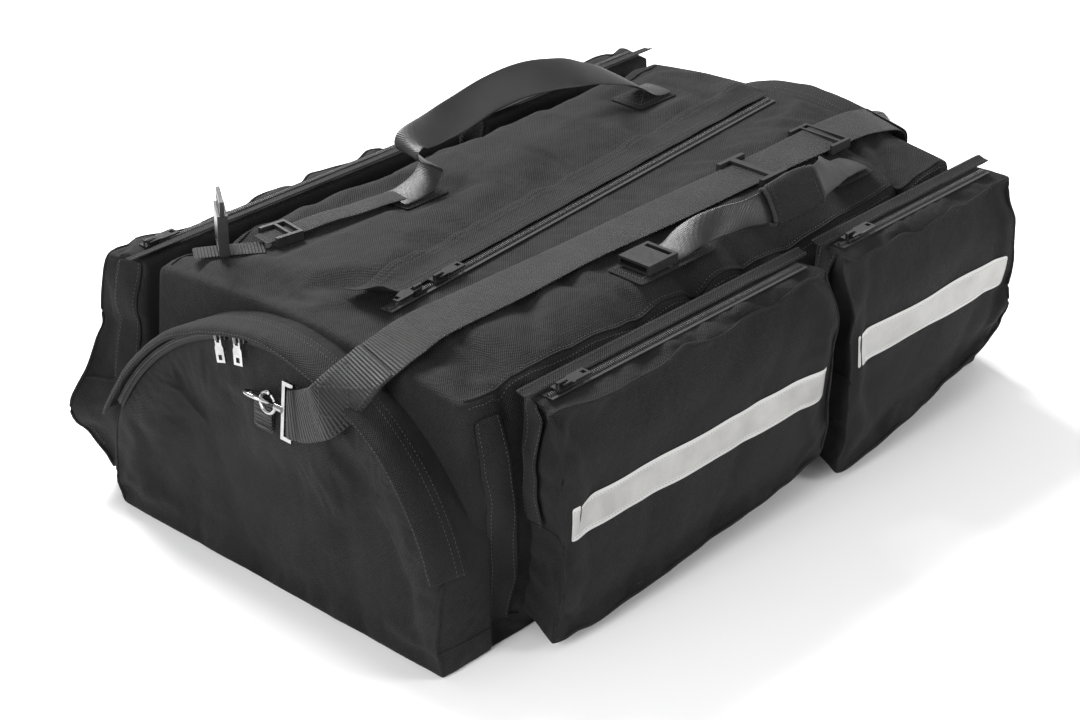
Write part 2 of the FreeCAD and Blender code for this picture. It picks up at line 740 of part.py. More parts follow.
def snap_hook(label, end):
    """An open ring with a barrel and a rectangular eye for the strap, lying along the end face."""
    hand = -end
    across, up = hook_centre()
    turn = Rotation() if hand > 0 else Rotation(Z_AXIS, 180)
    flip = Rotation() if hand > 0 else Rotation(X_AXIS, 180)
    local = shift(hand * across, up, value("hook_lift"), turn.multiply(flip))
    jaw = ring_arc(label + "_jaw", size.hook_radius, size.ring_wire, 270, shift(0, 0, 0, Rotation(Z_AXIS, 90)))
    tip = ball(label + "_tip", size.ring_wire * 1.2, shift(0, value("hook_radius"), 0))
    radius = value("hook_radius")
    barrel = rod(label + "_barrel", size.barrel_radius, size.barrel_length + 2,
                 shift(radius, 0, 0, Rotation(Y_AXIS, 90)))
    eye = new_body(label + "_eye")
    bar = size.eye_bar * 2
    loops = [rectangle(size.eye_length, size.eye_width),
             rectangle(size.eye_length - bar, size.eye_width - bar)]
    pad(eye, outline(eye, label + "_eye_plan", "XY_Plane", loops), size.eye_thick, both_ways=True)
    put(eye, shift(radius + 1 + value("barrel_length") + value("eye_length") / 2, 0, 0))
    hook = fuse(label, [jaw, tip, barrel, eye])
    put(hook, end_frame(end).multiply(local))
    keep(label, hook)
    gate_hinge = Vector(radius * 0.80, radius * 0.47, 0)
    gate_tip = Vector(radius * 0.43, radius * 0.81, 0)
    reach = gate_tip - gate_hinge
    lie = Rotation(Z_AXIS, reach)
    gate_rod = rod(label + "_gate_rod", size.gate_radius, reach.Length, Placement(gate_hinge, lie))
    gate_end = ball(label + "_gate_end", size.gate_radius * 1.2, Placement(gate_tip, Rotation()))
    gate_root = ball(label + "_gate_root", size.gate_radius * 1.2, Placement(gate_hinge, Rotation()))
    gate = fuse(label.replace("hook", "gate"), [gate_rod, gate_end, gate_root])
    put(gate, end_frame(end).multiply(local))
    keep(label.replace("hook", "gate"), gate)


# ---------------------------------------------------------------- buckles and adjusters

def buckle_socket(label, place):
    """The socket half of a side-release buckle: bar end at x = 0, mouth at its far end."""
    body = new_body(label)
    wall = size.buckle_wall * 2
    body_length = size.buckle_length
    middle = body_length / 2
    slot = rectangle(size.bar_slot, size.buckle_width - wall * 1.4, size.buckle_bar + size.bar_slot / 2)
    plan = outline(body, label + "_plan", "XY_Plane", [rectangle(body_length, size.buckle_width, middle), slot])
    pad(body, plan, size.buckle_thick)
    mouth = outline(body, label + "_mouth", "YZ_Plane",
                    [rectangle(size.buckle_width - wall, size.buckle_thick - wall, 0, size.buckle_thick / 2)])
    mouth.AttachmentOffset = Placement(Vector(0, 0, value("buckle_length")), Rotation())
    pocket = body.newObject("PartDesign::Pocket", label + "_socket")
    pocket.Profile = mouth
    bind(pocket, "Length", size.buckle_socket)
    doc.recompute()
    put(body, place)
    keep(label, body)


def buckle_plug(label, place):
    """The plug half: two prongs in the socket and a head with a webbing bar."""
    body = new_body(label)
    clear = size.plug_clear * 2
    wall = size.buckle_wall * 2
    half = (size.buckle_width - wall - clear) / 2
    mouth = size.buckle_length
    root = mouth + size.plug_gap
    depth = mouth - size.buckle_socket + size.prong_clear
    prong = size.prong_width
    head = size.buckle_width / 2
    head_end = root + size.plug_head
    plan = [(depth, half * -1), (root, half * -1), (root, head * -1),
            (head_end, head * -1), (head_end, head), (root, head), (root, half), (depth, half),
            (depth, half - prong), (root - size.plug_web, half - prong),
            (root - size.plug_web, prong - half), (depth, prong - half)]
    slot = rectangle(size.bar_slot, size.buckle_width - wall * 1.4,
                     head_end - size.buckle_bar - size.bar_slot / 2)
    sketch = outline(body, label + "_plan", "XY_Plane", [plan, slot])
    pad(body, sketch, size.buckle_thick - wall - clear)
    put(body, place.multiply(shift(0, 0, value("buckle_wall") + value("plug_clear"))))
    keep(label, body)


def woven_frame(label, length, rail, bars, width, thick, place):
    """A frame round straight webbing: rails beside it, some bars under it and some over it.

    bars holds (position along x, bar length along x, +1 over the webbing or -1 under it).
    """
    web_half = value("web_thick") / 2 + value("run_clear")
    half_width = as_size(width) / 2 + size.run_clear
    pieces = []
    for side in (-1, 1):
        beam = doc.addObject("Part::Box", label + "_rail_%d" % side)
        bind(beam, "Length", length)
        bind(beam, "Width", rail)
        beam.Height = 2 * (web_half + value(thick))
        edge = half_width.value if side > 0 else -half_width.value - rail.value
        put(beam, shift(-length.value / 2, edge, -web_half - value(thick)))
        pieces.append(beam)
    for number, (along, bar_length, over) in enumerate(bars):
        beam = doc.addObject("Part::Box", label + "_bar_%d" % number)
        beam.Length = bar_length
        bind(beam, "Width", half_width * 2 + rail)
        beam.Height = value(thick)
        level = web_half if over > 0 else -web_half - value(thick)
        put(beam, shift(along - bar_length / 2, -half_width.value - rail.value / 2, level))
        pieces.append(beam)
    joined = fuse(label, pieces)
    put(joined, place)
    keep(label, joined)


GLIDE_X = 157
STRAP_LOCK_X = 268
COMPRESSION_LOCK_INSET = 24


def adjusters():
    glide_end = value("glide_length") / 2 - value("glide_bar") / 2
    bar = value("glide_bar")
    bars = [(-glide_end, bar, -1), (0, bar + 2, 1), (glide_end, bar, -1)]
    woven_frame("tri_glide", size.glide_length, size.glide_rail, bars, size.wide_web, "glide_thick",
                shift(GLIDE_X, -value("strap_line"), value("strap_level")))
    lock_end = value("lock_length") / 2 - value("lock_bar") / 2
    bar = value("lock_bar")
    lock_bars = [(-lock_end, bar, -1), (2, bar, 1), (lock_end, bar, 1)]
    woven_frame("strap_ladder_lock", size.lock_length, size.lock_rail, lock_bars, size.wide_web, "lock_thick",
                shift(STRAP_LOCK_X, -value("strap_line"), value("strap_level")))
    strap = parts["compression_strap"].Placement
    along = shift(-value("compression_length") / 2 + COMPRESSION_LOCK_INSET, 0, value("web_thick") / 2)
    woven_frame("compression_ladder_lock", size.lock_length, size.lock_rail, lock_bars, size.narrow_web,
                "lock_thick", strap.multiply(along))


RIGHT_BUCKLE_X = -48
LEFT_BUCKLE_SPOT = Vector(-318, 153, 4)
LEFT_BUCKLE_TURN = -35


def buckles():
    top = value("body_top")
    patch = top + value("patch_thick")
    lying = Placement(Vector(RIGHT_BUCKLE_X, RIGHT_FEET[0].y, patch + value("plug_gap")), Rotation(Z_AXIS, 180))
    buckle_socket("right_buckle_socket", lying)
    upright = Rotation(Z_AXIS, LEFT_BUCKLE_TURN).multiply(Rotation(Y_AXIS, -90))
    standing = Placement(LEFT_BUCKLE_SPOT + Vector(0, 0, top), upright)
    buckle_socket("left_buckle_socket", standing)
    buckle_plug("left_buckle_plug", standing)


def build():
    fill_sheet()
    main_compartment()
    back_panel()
    for name, end in (("near", -1), ("far", 1)):
        end_pocket("end_pocket_" + name, end)
    for name, (side, kind) in POCKETS.items():
        side_pocket(name, side, kind)
        reflective_band(name, side, kind)
    zips()
    shoulder_strap()
    handles()
    compression_strap()
    for name, end in (("near", -1), ("far", 1)):
        ring_tab("dring_tab_" + name, end)
        d_ring("dring_" + name, end)
        snap_hook("snap_hook_" + name, end)
    adjusters()
    buckles()
    doc.recompute()


def check_and_write():
    faults = [thing.Label for thing in doc.Objects if "Invalid" in thing.State or "Error" in thing.State]
    faults += [label for label, thing in parts.items() if thing.Shape.isNull() or not thing.Shape.isValid()]
    if faults:
        raise RuntimeError("did not compute: " + ", ".join(faults))
    os.makedirs("parts", exist_ok=True)
    for label, thing in parts.items():
        thing.Shape.exportStep(os.path.join("parts", label + ".step"))
    print(len(parts), "sub-parts")


build()
check_and_write()
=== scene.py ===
"""Looks for the trauma backpack: stuffed fabric shells, zips, webbing and hardware on the CAD frame."""

import json
import math

import bpy
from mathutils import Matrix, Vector, noise
from mathutils.bvhtree import BVHTree

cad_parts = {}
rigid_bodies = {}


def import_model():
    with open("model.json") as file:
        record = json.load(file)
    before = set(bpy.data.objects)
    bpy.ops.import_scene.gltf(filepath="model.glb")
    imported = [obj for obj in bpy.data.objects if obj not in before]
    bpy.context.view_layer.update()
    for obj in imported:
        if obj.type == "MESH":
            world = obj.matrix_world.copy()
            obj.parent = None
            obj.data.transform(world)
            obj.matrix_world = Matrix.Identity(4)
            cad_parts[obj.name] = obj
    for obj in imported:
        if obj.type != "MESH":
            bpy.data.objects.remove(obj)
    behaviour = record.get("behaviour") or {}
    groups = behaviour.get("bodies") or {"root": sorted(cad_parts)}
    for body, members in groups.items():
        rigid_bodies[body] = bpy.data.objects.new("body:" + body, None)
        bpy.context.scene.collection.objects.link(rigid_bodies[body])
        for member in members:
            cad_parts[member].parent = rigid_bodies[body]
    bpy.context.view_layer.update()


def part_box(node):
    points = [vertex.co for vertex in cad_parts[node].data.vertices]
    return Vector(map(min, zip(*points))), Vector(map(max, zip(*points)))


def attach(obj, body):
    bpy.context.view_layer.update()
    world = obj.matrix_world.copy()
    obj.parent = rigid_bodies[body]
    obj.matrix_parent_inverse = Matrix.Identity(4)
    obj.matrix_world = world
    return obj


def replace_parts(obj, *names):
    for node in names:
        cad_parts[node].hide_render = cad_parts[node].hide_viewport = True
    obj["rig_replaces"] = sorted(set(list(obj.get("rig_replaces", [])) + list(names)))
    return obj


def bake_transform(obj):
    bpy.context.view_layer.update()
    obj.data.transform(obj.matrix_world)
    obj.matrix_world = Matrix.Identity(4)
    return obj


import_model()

UP = Vector((0, 0, 1))

# ---------------------------------------------------------------- the camera and the light

VIEW_AZIMUTH = math.radians(-47)
VIEW_HEIGHT = math.radians(28)
VIEW_TARGET = Vector((-0.045, 0.0, 0.100))
VIEW_DISTANCE = 2.65
VIEW_LENS = 86.7


def add_camera():
    data = bpy.data.cameras.new("camera")
    data.lens = VIEW_LENS
    data.sensor_width = 36
    camera = bpy.data.objects.new("camera", data)
    bpy.context.scene.collection.objects.link(camera)
    back = Vector((math.sin(VIEW_AZIMUTH) * math.cos(VIEW_HEIGHT),
                   -math.cos(VIEW_AZIMUTH) * math.cos(VIEW_HEIGHT), math.sin(VIEW_HEIGHT)))
    camera.location = VIEW_TARGET + back * VIEW_DISTANCE
    camera.rotation_euler = (-back).to_track_quat("-Z", "Y").to_euler()
    bpy.context.scene.camera = camera


def add_light(name, place, aim, width, power, tint=(1, 1, 1)):
    data = bpy.data.lights.new(name, "AREA")
    data.shape = "RECTANGLE"
    data.size = width
    data.size_y = width
    data.energy = power
    data.color = tint
    light = bpy.data.objects.new(name, data)
    bpy.context.scene.collection.objects.link(light)
    light.location = place
    light.rotation_euler = (Vector(aim) - Vector(place)).to_track_quat("-Z", "Y").to_euler()


def add_stage():
    add_light("key", (0.3, 1.7, 2.1), (0, 0, 0.1), 1.2, 150)
    add_light("fill", (-2.6, -0.6, 1.2), (0, 0, 0.1), 1.2, 60)
    add_light("side", (1.4, -2.6, 1.3), (0, 0, 0.1), 1.0, 42)
    world = bpy.data.worlds.new("studio")
    bpy.context.scene.world = world
    world.use_nodes = True
    sky = world.node_tree.nodes["Background"]
    sky.inputs["Color"].default_value = (1.0, 1.0, 1.0, 1)
    sky.inputs["Strength"].default_value = 0.62
    bpy.context.scene.view_settings.view_transform = "Standard"


# ---------------------------------------------------------------- materials

class Shader:
    """Builds one node material around a Principled shader."""

    def __init__(self, name):
        self.material = bpy.data.materials.new(name)
        self.material.use_nodes = True
        self.tree = self.material.node_tree
        self.surface = self.tree.nodes["Principled BSDF"]

    def node(self, kind, **settings):
        made = self.tree.nodes.new(kind)
        for key, value in settings.items():
            setattr(made, key, value)
        return made

    def feed(self, socket, value):
        if isinstance(value, bpy.types.NodeSocket):
            self.tree.links.new(value, socket)
        else:
            socket.default_value = value

    def put(self, name, value):
        self.feed(self.surface.inputs[name], value)

    def math(self, operation, first, second=0.0, third=0.0):
        made = self.node("ShaderNodeMath", operation=operation)
        self.feed(made.inputs[0], first)
        self.feed(made.inputs[1], second)
        self.feed(made.inputs[2], third)
        return made.outputs[0]

    def uv(self):
        """(along, across) in metres of cloth."""
        split = self.node("ShaderNodeSeparateXYZ")
        self.feed(split.inputs[0], self.node("ShaderNodeUVMap").outputs[0])
        return split.outputs[0], split.outputs[1]

    def wave(self, distance, pitch):
        """A sine of the distance with this pitch, from -1 to 1."""
        return self.math("SINE", self.math("MULTIPLY", distance, 2 * math.pi / pitch))

    def noise(self, scale, detail=3.0, rough=0.55):
        """Noise over the piece's own coordinates, from 0 to 1."""
        made = self.node("ShaderNodeTexNoise")
        self.feed(made.inputs["Vector"], self.node("ShaderNodeTexCoord").outputs["Object"])
        made.inputs["Scale"].default_value = scale
        made.inputs["Detail"].default_value = detail
        made.inputs["Roughness"].default_value = rough
        return made.outputs[0]

    def blend(self, amount, low, high):
        """A colour between two, by an amount from 0 to 1."""
        made = self.node("ShaderNodeMix", data_type="RGBA")
        self.feed(made.inputs[0], amount)
        self.feed(made.inputs[6], low)
        self.feed(made.inputs[7], high)
        return made.outputs[2]

    def spread(self, value, low, high, start=0.0, end=1.0):
        made = self.node("ShaderNodeMapRange")
        self.feed(made.inputs["Value"], value)
        for name, number in (("From Min", low), ("From Max", high), ("To Min", start), ("To Max", end)):
            made.inputs[name].default_value = number
        return made.outputs[0]

    def bump(self, height, distance, strength=1.0, under=None):
        made = self.node("ShaderNodeBump")
        made.inputs["Distance"].default_value = distance
        made.inputs["Strength"].default_value = strength
        self.feed(made.inputs["Height"], height)
        if under is not None:
            self.feed(made.inputs["Normal"], under)
        return made.outputs[0]


def grey(value, warm=1.0, cool=1.0):
    return (value * warm, value, value * cool, 1.0)


def weave_material(name, dark, light, pitch, relief, sheen, roughness=0.72, creases=1.0):
    """Plain woven cloth: over-and-under threads with painted highlights on the raised threads, uneven yarn,
    soft creases, and patches that are part faded cloth and part painted shading.
    """
    shader = Shader(name)
    along, across = shader.uv()
    warp = shader.wave(along, pitch)
    weft = shader.wave(across, pitch)
    cross = shader.math("MULTIPLY", warp, weft)
    slub = shader.noise(900.0, 2.0)
    fade_and_painted_shade = shader.noise(9.0, 4.0, 0.6)
    crease = shader.noise(38.0, 5.0, 0.62)
    # The weave term in the colour paints highlights on the raised threads and shade between them; the slub
    # noise is uneven yarn.
    thread = shader.math("MULTIPLY_ADD", cross, 0.34, 0.40)
    thread = shader.math("ADD", thread, shader.math("MULTIPLY", shader.math("SUBTRACT", slub, 0.5), 0.9))
    # The low-frequency patches are part faded cloth and part painted light and shade that stands in for the
    # shading of creases.
    thread = shader.math("ADD", thread, shader.math("MULTIPLY", shader.math("SUBTRACT", fade_and_painted_shade, 0.5), 1.3))
    colour = shader.blend(shader.spread(thread, 0.0, 1.0), dark, light)
    shader.put("Base Color", colour)
    shader.put("Roughness", shader.spread(fade_and_painted_shade, 0.3, 0.7, roughness - 0.06, roughness + 0.08))
    shader.put("Specular IOR Level", 0.17)
    shader.put("Sheen Weight", sheen)
    shader.put("Sheen Roughness", 0.45)
    shader.put("Sheen Tint", (0.86, 0.84, 0.88, 1))
    soft = shader.bump(crease, 0.0035 * creases, 0.55)
    shader.put("Normal", shader.bump(cross, relief, 0.9, soft))
    return shader.material


def webbing_material(name, dark, light, rib_pitch, relief, sheen, roughness):
    """Woven tape: ribs across its run, a tight selvage and a slight twill; its colour paints highlights on
    the rib crests and shade in the grooves, over real wear patches.
    """
    shader = Shader(name)
    along, across = shader.uv()
    rib = shader.wave(along, rib_pitch)
    twill = shader.wave(shader.math("ADD", along, across), rib_pitch * 0.8)
    fine = shader.wave(across, 0.0011)
    wear = shader.noise(26.0, 4.0, 0.6)
    height = shader.math("ADD", shader.math("MULTIPLY", rib, 0.8), shader.math("MULTIPLY", fine, 0.22))
    height = shader.math("ADD", height, shader.math("MULTIPLY", twill, 0.12))
    # Colour: lighter on the rib crests and darker in the grooves is painted light; the wear noise is real
    # wear.
    rib_light_and_wear = shader.math("ADD", shader.math("MULTIPLY_ADD", height, 0.30, 0.35),
                        shader.math("MULTIPLY", shader.math("SUBTRACT", wear, 0.5), 0.8))
    shader.put("Base Color", shader.blend(shader.spread(rib_light_and_wear, 0.0, 1.0), dark, light))
    shader.put("Roughness", shader.spread(wear, 0.3, 0.7, roughness - 0.06, roughness + 0.08))
    shader.put("Specular IOR Level", 0.45)
    shader.put("Sheen Weight", sheen)
    shader.put("Sheen Roughness", 0.35)
    soft = shader.bump(wear, 0.0012, 0.4)
    shader.put("Normal", shader.bump(height, relief, 1.0, soft))
    return shader.material


def moulded_material(name, dark, light, roughness, metallic=0.0, grain=0.00006, coat=0.0):
    """Moulded plastic or plated metal: faint grain, handling marks and uneven polish."""
    shader = Shader(name)
    mottle = shader.noise(55.0, 4.0, 0.6)
    fine = shader.noise(1600.0, 2.0)
    scuff = shader.noise(240.0, 6.0, 0.75)
    shader.put("Base Color", shader.blend(shader.spread(mottle, 0.3, 0.7), dark, light))
    marks = shader.spread(scuff, 0.45, 0.75, roughness - 0.05, roughness + 0.16)
    shader.put("Roughness", marks)
    shader.put("Metallic", metallic)
    shader.put("Coat Weight", coat)
    shader.put("Normal", shader.bump(fine, grain, 0.6))
    return shader.material


def tape_material(name):
    """Retroreflective tape: satin silver with a fine honeycomb, dulled strips at its hems."""
    shader = Shader(name)
    _, across = shader.uv()
    cells = shader.node("ShaderNodeTexVoronoi")
    shader.feed(cells.inputs["Vector"], shader.node("ShaderNodeUVMap").outputs[0])
    cells.inputs["Scale"].default_value = 420.0
    smear = shader.noise(30.0, 5.0, 0.6)
    hem = shader.spread(shader.math("ABSOLUTE", across), 0.0122, 0.0128)
    body = shader.blend(shader.spread(smear, 0.3, 0.7), (0.30, 0.296, 0.288, 1), (0.40, 0.396, 0.386, 1))
    shader.put("Base Color", shader.blend(hem, body, (0.45, 0.45, 0.44, 1)))
    shader.put("Roughness", shader.spread(smear, 0.3, 0.7, 0.34, 0.5))
    shader.put("Metallic", shader.math("MULTIPLY", shader.math("SUBTRACT", 1.0, hem), 0.20))
    soft = shader.bump(smear, 0.0012, 0.5)
    shader.put("Normal", shader.bump(cells.outputs["Distance"], 0.00012, 0.5, soft))
    return shader.material


def floor_material():
    shader = Shader("pale_floor")
    shader.put("Base Color", shader.blend(shader.noise(3.0), grey(0.86), grey(0.89)))
    shader.put("Roughness", 0.9)
    return shader.material


CLOTH = weave_material("cloth", grey(0.0012, 1.06, 1.10), grey(0.0185, 1.05, 1.08), 0.0026, 0.00045, 0.025,
                       creases=2.4)
LIP_CLOTH = weave_material("lip_cloth", grey(0.0014, 1.06, 1.10), grey(0.0205, 1.05, 1.08), 0.0026, 0.00045,
                           0.025, creases=1.6)
BINDING = weave_material("binding", grey(0.010), grey(0.050), 0.0013, 0.0001, 0.06)
RIBBED = webbing_material("ribbed_web", grey(0.0015), grey(0.0280), 0.0032, 0.00110, 0.02, 0.50)
SATIN = webbing_material("satin_web", grey(0.0040), grey(0.0220), 0.0016, 0.00012, 0.04, 0.38)
THREAD = weave_material("thread", grey(0.045), grey(0.110), 0.0006, 0.00005, 0.10)
GREY_THREAD = weave_material("grey_thread", grey(0.16), grey(0.30), 0.0006, 0.00005, 0.10)
COIL = moulded_material("zip_coil", grey(0.006), grey(0.018), 0.34)
ENAMEL = moulded_material("black_enamel", grey(0.006), grey(0.012), 0.16, coat=0.5)
NICKEL = moulded_material("nickel", grey(0.30), grey(0.46), 0.24, metallic=1.0, grain=0.00003)
PLASTIC = moulded_material("acetal", grey(0.009), grey(0.019), 0.34, grain=0.00009)
TAPE = tape_material("reflective")


# ---------------------------------------------------------------- mesh building

def add_piece(name, verts, faces, material, body="bag", uvs=None, smooth=True):
    """A mesh object that rides on a body. uvs holds one (along, across) per face corner."""
    mesh = bpy.data.meshes.new(name)
    mesh.from_pydata([tuple(v) for v in verts], [], faces)
    if uvs is not None:
        layer = mesh.uv_layers.new(name="cloth")
        for loop, uv in zip(layer.data, uvs):
            loop.uv = uv
    for polygon in mesh.polygons:
        polygon.use_smooth = smooth
    mesh.materials.append(material)
    piece = bpy.data.objects.new(name, mesh)
    bpy.context.scene.collection.objects.link(piece)
    if body is not None:
        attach(piece, body)
    return piece


def refine(piece, levels=1):
    modifier = piece.modifiers.new("smooth", "SUBSURF")
    modifier.levels = levels
    modifier.render_levels = levels


def shell_grid(counts):
    """Keys and quads of the surface of a box of counts cells, with each quad's flat axis."""
    order = {}
    faces = []
    for axis in range(3):
        first, second = [other for other in range(3) if other != axis]
        for end in (0, counts[axis]):
            for i in range(counts[first]):
                for j in range(counts[second]):
                    quad = []
                    for di, dj in ((0, 0), (1, 0), (1, 1), (0, 1)):
                        key = [0, 0, 0]
                        key[axis] = end
                        key[first] = i + di
                        key[second] = j + dj
                        key = tuple(key)
                        quad.append(order.setdefault(key, len(order)))
                    outward = (end > 0) != (axis == 1)
                    faces.append((quad if outward else quad[::-1], axis))
    return list(order), faces


class Shell:
    """A closed stuffed piece: a box grid bent into shape, its seams held while the cloth fills."""

    def __init__(self, name, counts, shape, spans, held, node, padded=0.7):
        keys, faces = shell_grid(counts)
        self.counts = counts
        self.index = {key: number for number, key in enumerate(keys)}
        self.params = [tuple(2 * key[axis] / counts[axis] - 1 for axis in range(3)) for key in keys]
        verts = [shape(*param) for param in self.params]
        uvs = []
        for quad, axis in faces:
            first, second = [other for other in range(3) if other != axis]
            for vertex in quad:
                param = self.params[vertex]
                uvs.append((param[first] * spans[first] / 2, param[second] * spans[second] / 2))
        self.piece = add_piece(name, verts, [quad for quad, _ in faces], CLOTH, uvs=uvs)
        self.start = [Vector(v) for v in verts]
        group = self.piece.vertex_groups.new(name="held")
        for number, param in enumerate(self.params):
            weight = held(*param)
            if weight > 0:
                group.add([number], weight, "REPLACE")
        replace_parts(self.piece, node)

    def start_cloth(self, pressure, growth, bend):
        modifier = self.piece.modifiers.new("fill", "CLOTH")
        settings = modifier.settings
        settings.quality = 5
        settings.mass = 0.25
        settings.tension_stiffness = 12
        settings.compression_stiffness = 12
        settings.shear_stiffness = 4
        settings.bending_stiffness = bend
        settings.air_damping = 2
        settings.vertex_group_mass = "held"
        settings.pin_stiffness = 1.0
        settings.use_pressure = True
        settings.uniform_pressure_force = pressure
        settings.shrink_min = -growth
        settings.effector_weights.gravity = 0
        modifier.collision_settings.use_collision = False

    def finish_cloth(self, cap, floor=0.0006):
        """Take the simulated shape, moved no further than cap from the drawn one."""
        graph = bpy.context.evaluated_depsgraph_get()
        moved = self.piece.evaluated_get(graph).to_mesh()
        places = [Vector(v.co) for v in moved.vertices]
        self.piece.evaluated_get(graph).to_mesh_clear()
        self.piece.modifiers.remove(self.piece.modifiers["fill"])
        for vertex, place, start in zip(self.piece.data.vertices, places, self.start):
            step = place - start
            if step.length > cap:
                step *= cap / step.length
            vertex.co = start + step
            vertex.co.z = max(vertex.co.z, floor)

    def point(self, key):
        return Vector(self.piece.data.vertices[self.index[key]].co)

    def normal(self, key):
        return Vector(self.piece.data.vertices[self.index[key]].normal)


def simulate(shells, frames=16):
    """Fill every shell at once; each has its own pressure, spare cloth and stiffness."""
    for shell, pressure, growth, bend, _ in shells:
        shell.start_cloth(pressure, growth, bend)
    scene = bpy.context.scene
    for number in range(1, frames + 1):
        scene.frame_set(number)
    for shell, _, _, _, cap in shells:
        shell.finish_cloth(cap)
    scene.frame_set(1)


# ---------------------------------------------------------------- the shells' shapes

BODY_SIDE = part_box("main_compartment")[1][1]
BODY_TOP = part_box("main_compartment")[1][2]
BODY_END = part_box("main_compartment")[1][0]
END_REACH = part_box("end_pocket_far")[1][0]
ARCH_RADIUS = 0.248
ARCH_LEVEL = 0.014
ZIP_RADIUS = 0.240
LEAN = math.radians(5.5)
POCKET_OUT = -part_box("side_pocket_right_long")[0][1]
POCKET_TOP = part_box("side_pocket_right_long")[1][2]
POCKET_ZIP = 0.245
STRAP_LINE = -0.105
ZIP_MIDDLE = Vector((0.016, -0.018, BODY_TOP))
ZIP_WAY = Vector((math.cos(math.radians(5.4)), math.sin(math.radians(5.4)), 0))
ZIP_SIDE = Vector((-ZIP_WAY.y, ZIP_WAY.x, 0))
ZIP_HALF = 0.320


def ripple(x, y, z, scale, seed):
    """Smooth noise from -1 to 1, the same on every run."""
    return noise.noise(Vector((x * scale + seed, y * scale - seed, z * scale + 2 * seed)))


def step(value, low, high):
    """0 below low, 1 above high, smooth between."""
    part = min(1.0, max(0.0, (value - low) / (high - low)))
    return part * part * (3 - 2 * part)


def rounded(across, up, q_side, q_top):
    """Rounds the upper corners of a section: across from -1 to 1, up from 0 to 1."""
    return (across * math.sqrt(1 - q_side * up * up / 2), up * math.sqrt(1 - q_top * across * across / 2))


def main_shape(a, b, c):
    up = (c + 1) / 2
    across, high = rounded(b, up ** 1.5, 0.30, 0.22)
    x = a * (BODY_END + 0.004)
    y = across * (BODY_SIDE - 0.004)
    z = high * (BODY_TOP - 0.001)
    return (x, y, max(z, 0.0))


def arch_fit(across, high):
    """Takes a point of the half rectangle (-1..1, 0..1) into the D-shaped outline, in metres."""
    y = across * BODY_SIDE
    z = high * (ARCH_LEVEL + ARCH_RADIUS)
    rise = z - ARCH_LEVEL
    if rise <= 0:
        return y, z
    square = min(BODY_SIDE / max(abs(y), 1e-9), ARCH_RADIUS / rise)
    reach = math.hypot(y, rise)
    edge = min(BODY_SIDE / max(abs(y), 1e-9) * reach, ARCH_RADIUS)
    scale = edge / (square * reach)
    return y * scale, ARCH_LEVEL + rise * scale


def end_shape(end):
    """The end pocket: thickness along a, with a = -1 inside and a = 1 on the leaning face."""
    def shape(a, b, c):
        up = (c + 1) / 2
        out = (a + 1) / 2
        y, z = arch_fit(b, up)
        radius = math.hypot(y, max(0.0, z - ARCH_LEVEL))
        face = END_REACH - z * math.tan(LEAN) - 0.0015
        face -= 0.012 * step(radius, 0.236, 0.249) + 0.010 * (1 - step(z, 0.0, 0.035))
        inner = BODY_END - 0.012
        x = inner + (face - inner) * out
        return (end * x, y, max(z - 0.0008, 0.0))
    return shape


def pocket_shape(name, side, tail):
    """A side pocket: b = -1 on the flank and 1 outside; its floor climbs by tail towards +X."""
    low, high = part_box("side_pocket_" + name)
    length = high[0] - low[0]

    def shape(a, b, c):
        up = (c + 1) / 2
        along = (a + 1) / 2
        out = (b + 1) / 2
        depth = POCKET_OUT - BODY_SIDE
        depth *= 1 - 0.24 * step(up, 0.72, 1.0) - 0.16 * (1 - step(up, 0.0, 0.22))
        depth *= 1 - 0.12 * abs(a) ** 7
        y = BODY_SIDE - 0.003 + depth * out
        floor = 0.010 + tail * along ** 1.3 * out + 0.014 * (1 - out)
        roof = POCKET_TOP - 0.0006 - 0.004 * step(y, POCKET_ZIP + 0.010, POCKET_ZIP + 0.030)
        z = floor + (roof - floor) * up
        x = low[0] + length * along
        x += -a * abs(a) ** 3 * (0.006 * (1 - out) + 0.004 * step(up, 0.75, 1.0))
        if name == "left_long":
            flop = step(-a, 0.45, 1.0) * out
            x -= flop * (0.040 * math.exp(-((z - 0.085) / 0.055) ** 2) + 0.004)
            y += flop * 0.010 * math.exp(-((z - 0.080) / 0.060) ** 2)
            z += flop * 0.010 * step(z, 0.18, 0.25) * (1 - step(abs(y - POCKET_ZIP), 0.0, 0.012))
        seam = out * (abs(a) ** 4 + up ** 6) * 0.0035
        return (x + seam * ripple(x, y, z, 22, 5.0), side * (y + seam * ripple(z, x, y, 20, 9.0)), z)
    return shape


def main_held(a, b, c):
    """The body keeps still at its ends, floor, zip and where hardware stands on it."""
    x, y, _ = main_shape(a, b, c)
    if c < -0.9 or abs(a) > 0.97:
        return 1.0
    if c > 0.97:
        off = abs((Vector((x, y, 0)) - Vector((ZIP_MIDDLE.x, ZIP_MIDDLE.y, 0))).dot(ZIP_SIDE))
        return 1 - step(off, 0.014, 0.034)
    return 0.0


def end_held(a, b, c):
    """An end pocket keeps still at its back, floor and arch, and round the ring and hook."""
    y, z = arch_fit(b, (c + 1) / 2)
    if a < -0.7 or c < -0.97:
        return 1.0
    radius = math.hypot(y, max(0.0, z - ARCH_LEVEL))
    weight = step(radius, 0.212, 0.232)
    if a > 0.9:
        weight = max(weight, (1 - step(abs(y + 0.020), 0.035, 0.065)) * step(z, 0.140, 0.170))
    return weight


def pocket_held(a, b, c):
    """A side pocket keeps still on the bag's flank and along its zip; its seams give a little."""
    if b < -0.9:
        return 1.0
    if c > 0.97:
        return 1 - step(b, -0.05, 0.35)
    ends = sum(1 for value in (a, b, c) if abs(value) > 0.97)
    return 0.45 if ends >= 2 else 0.0


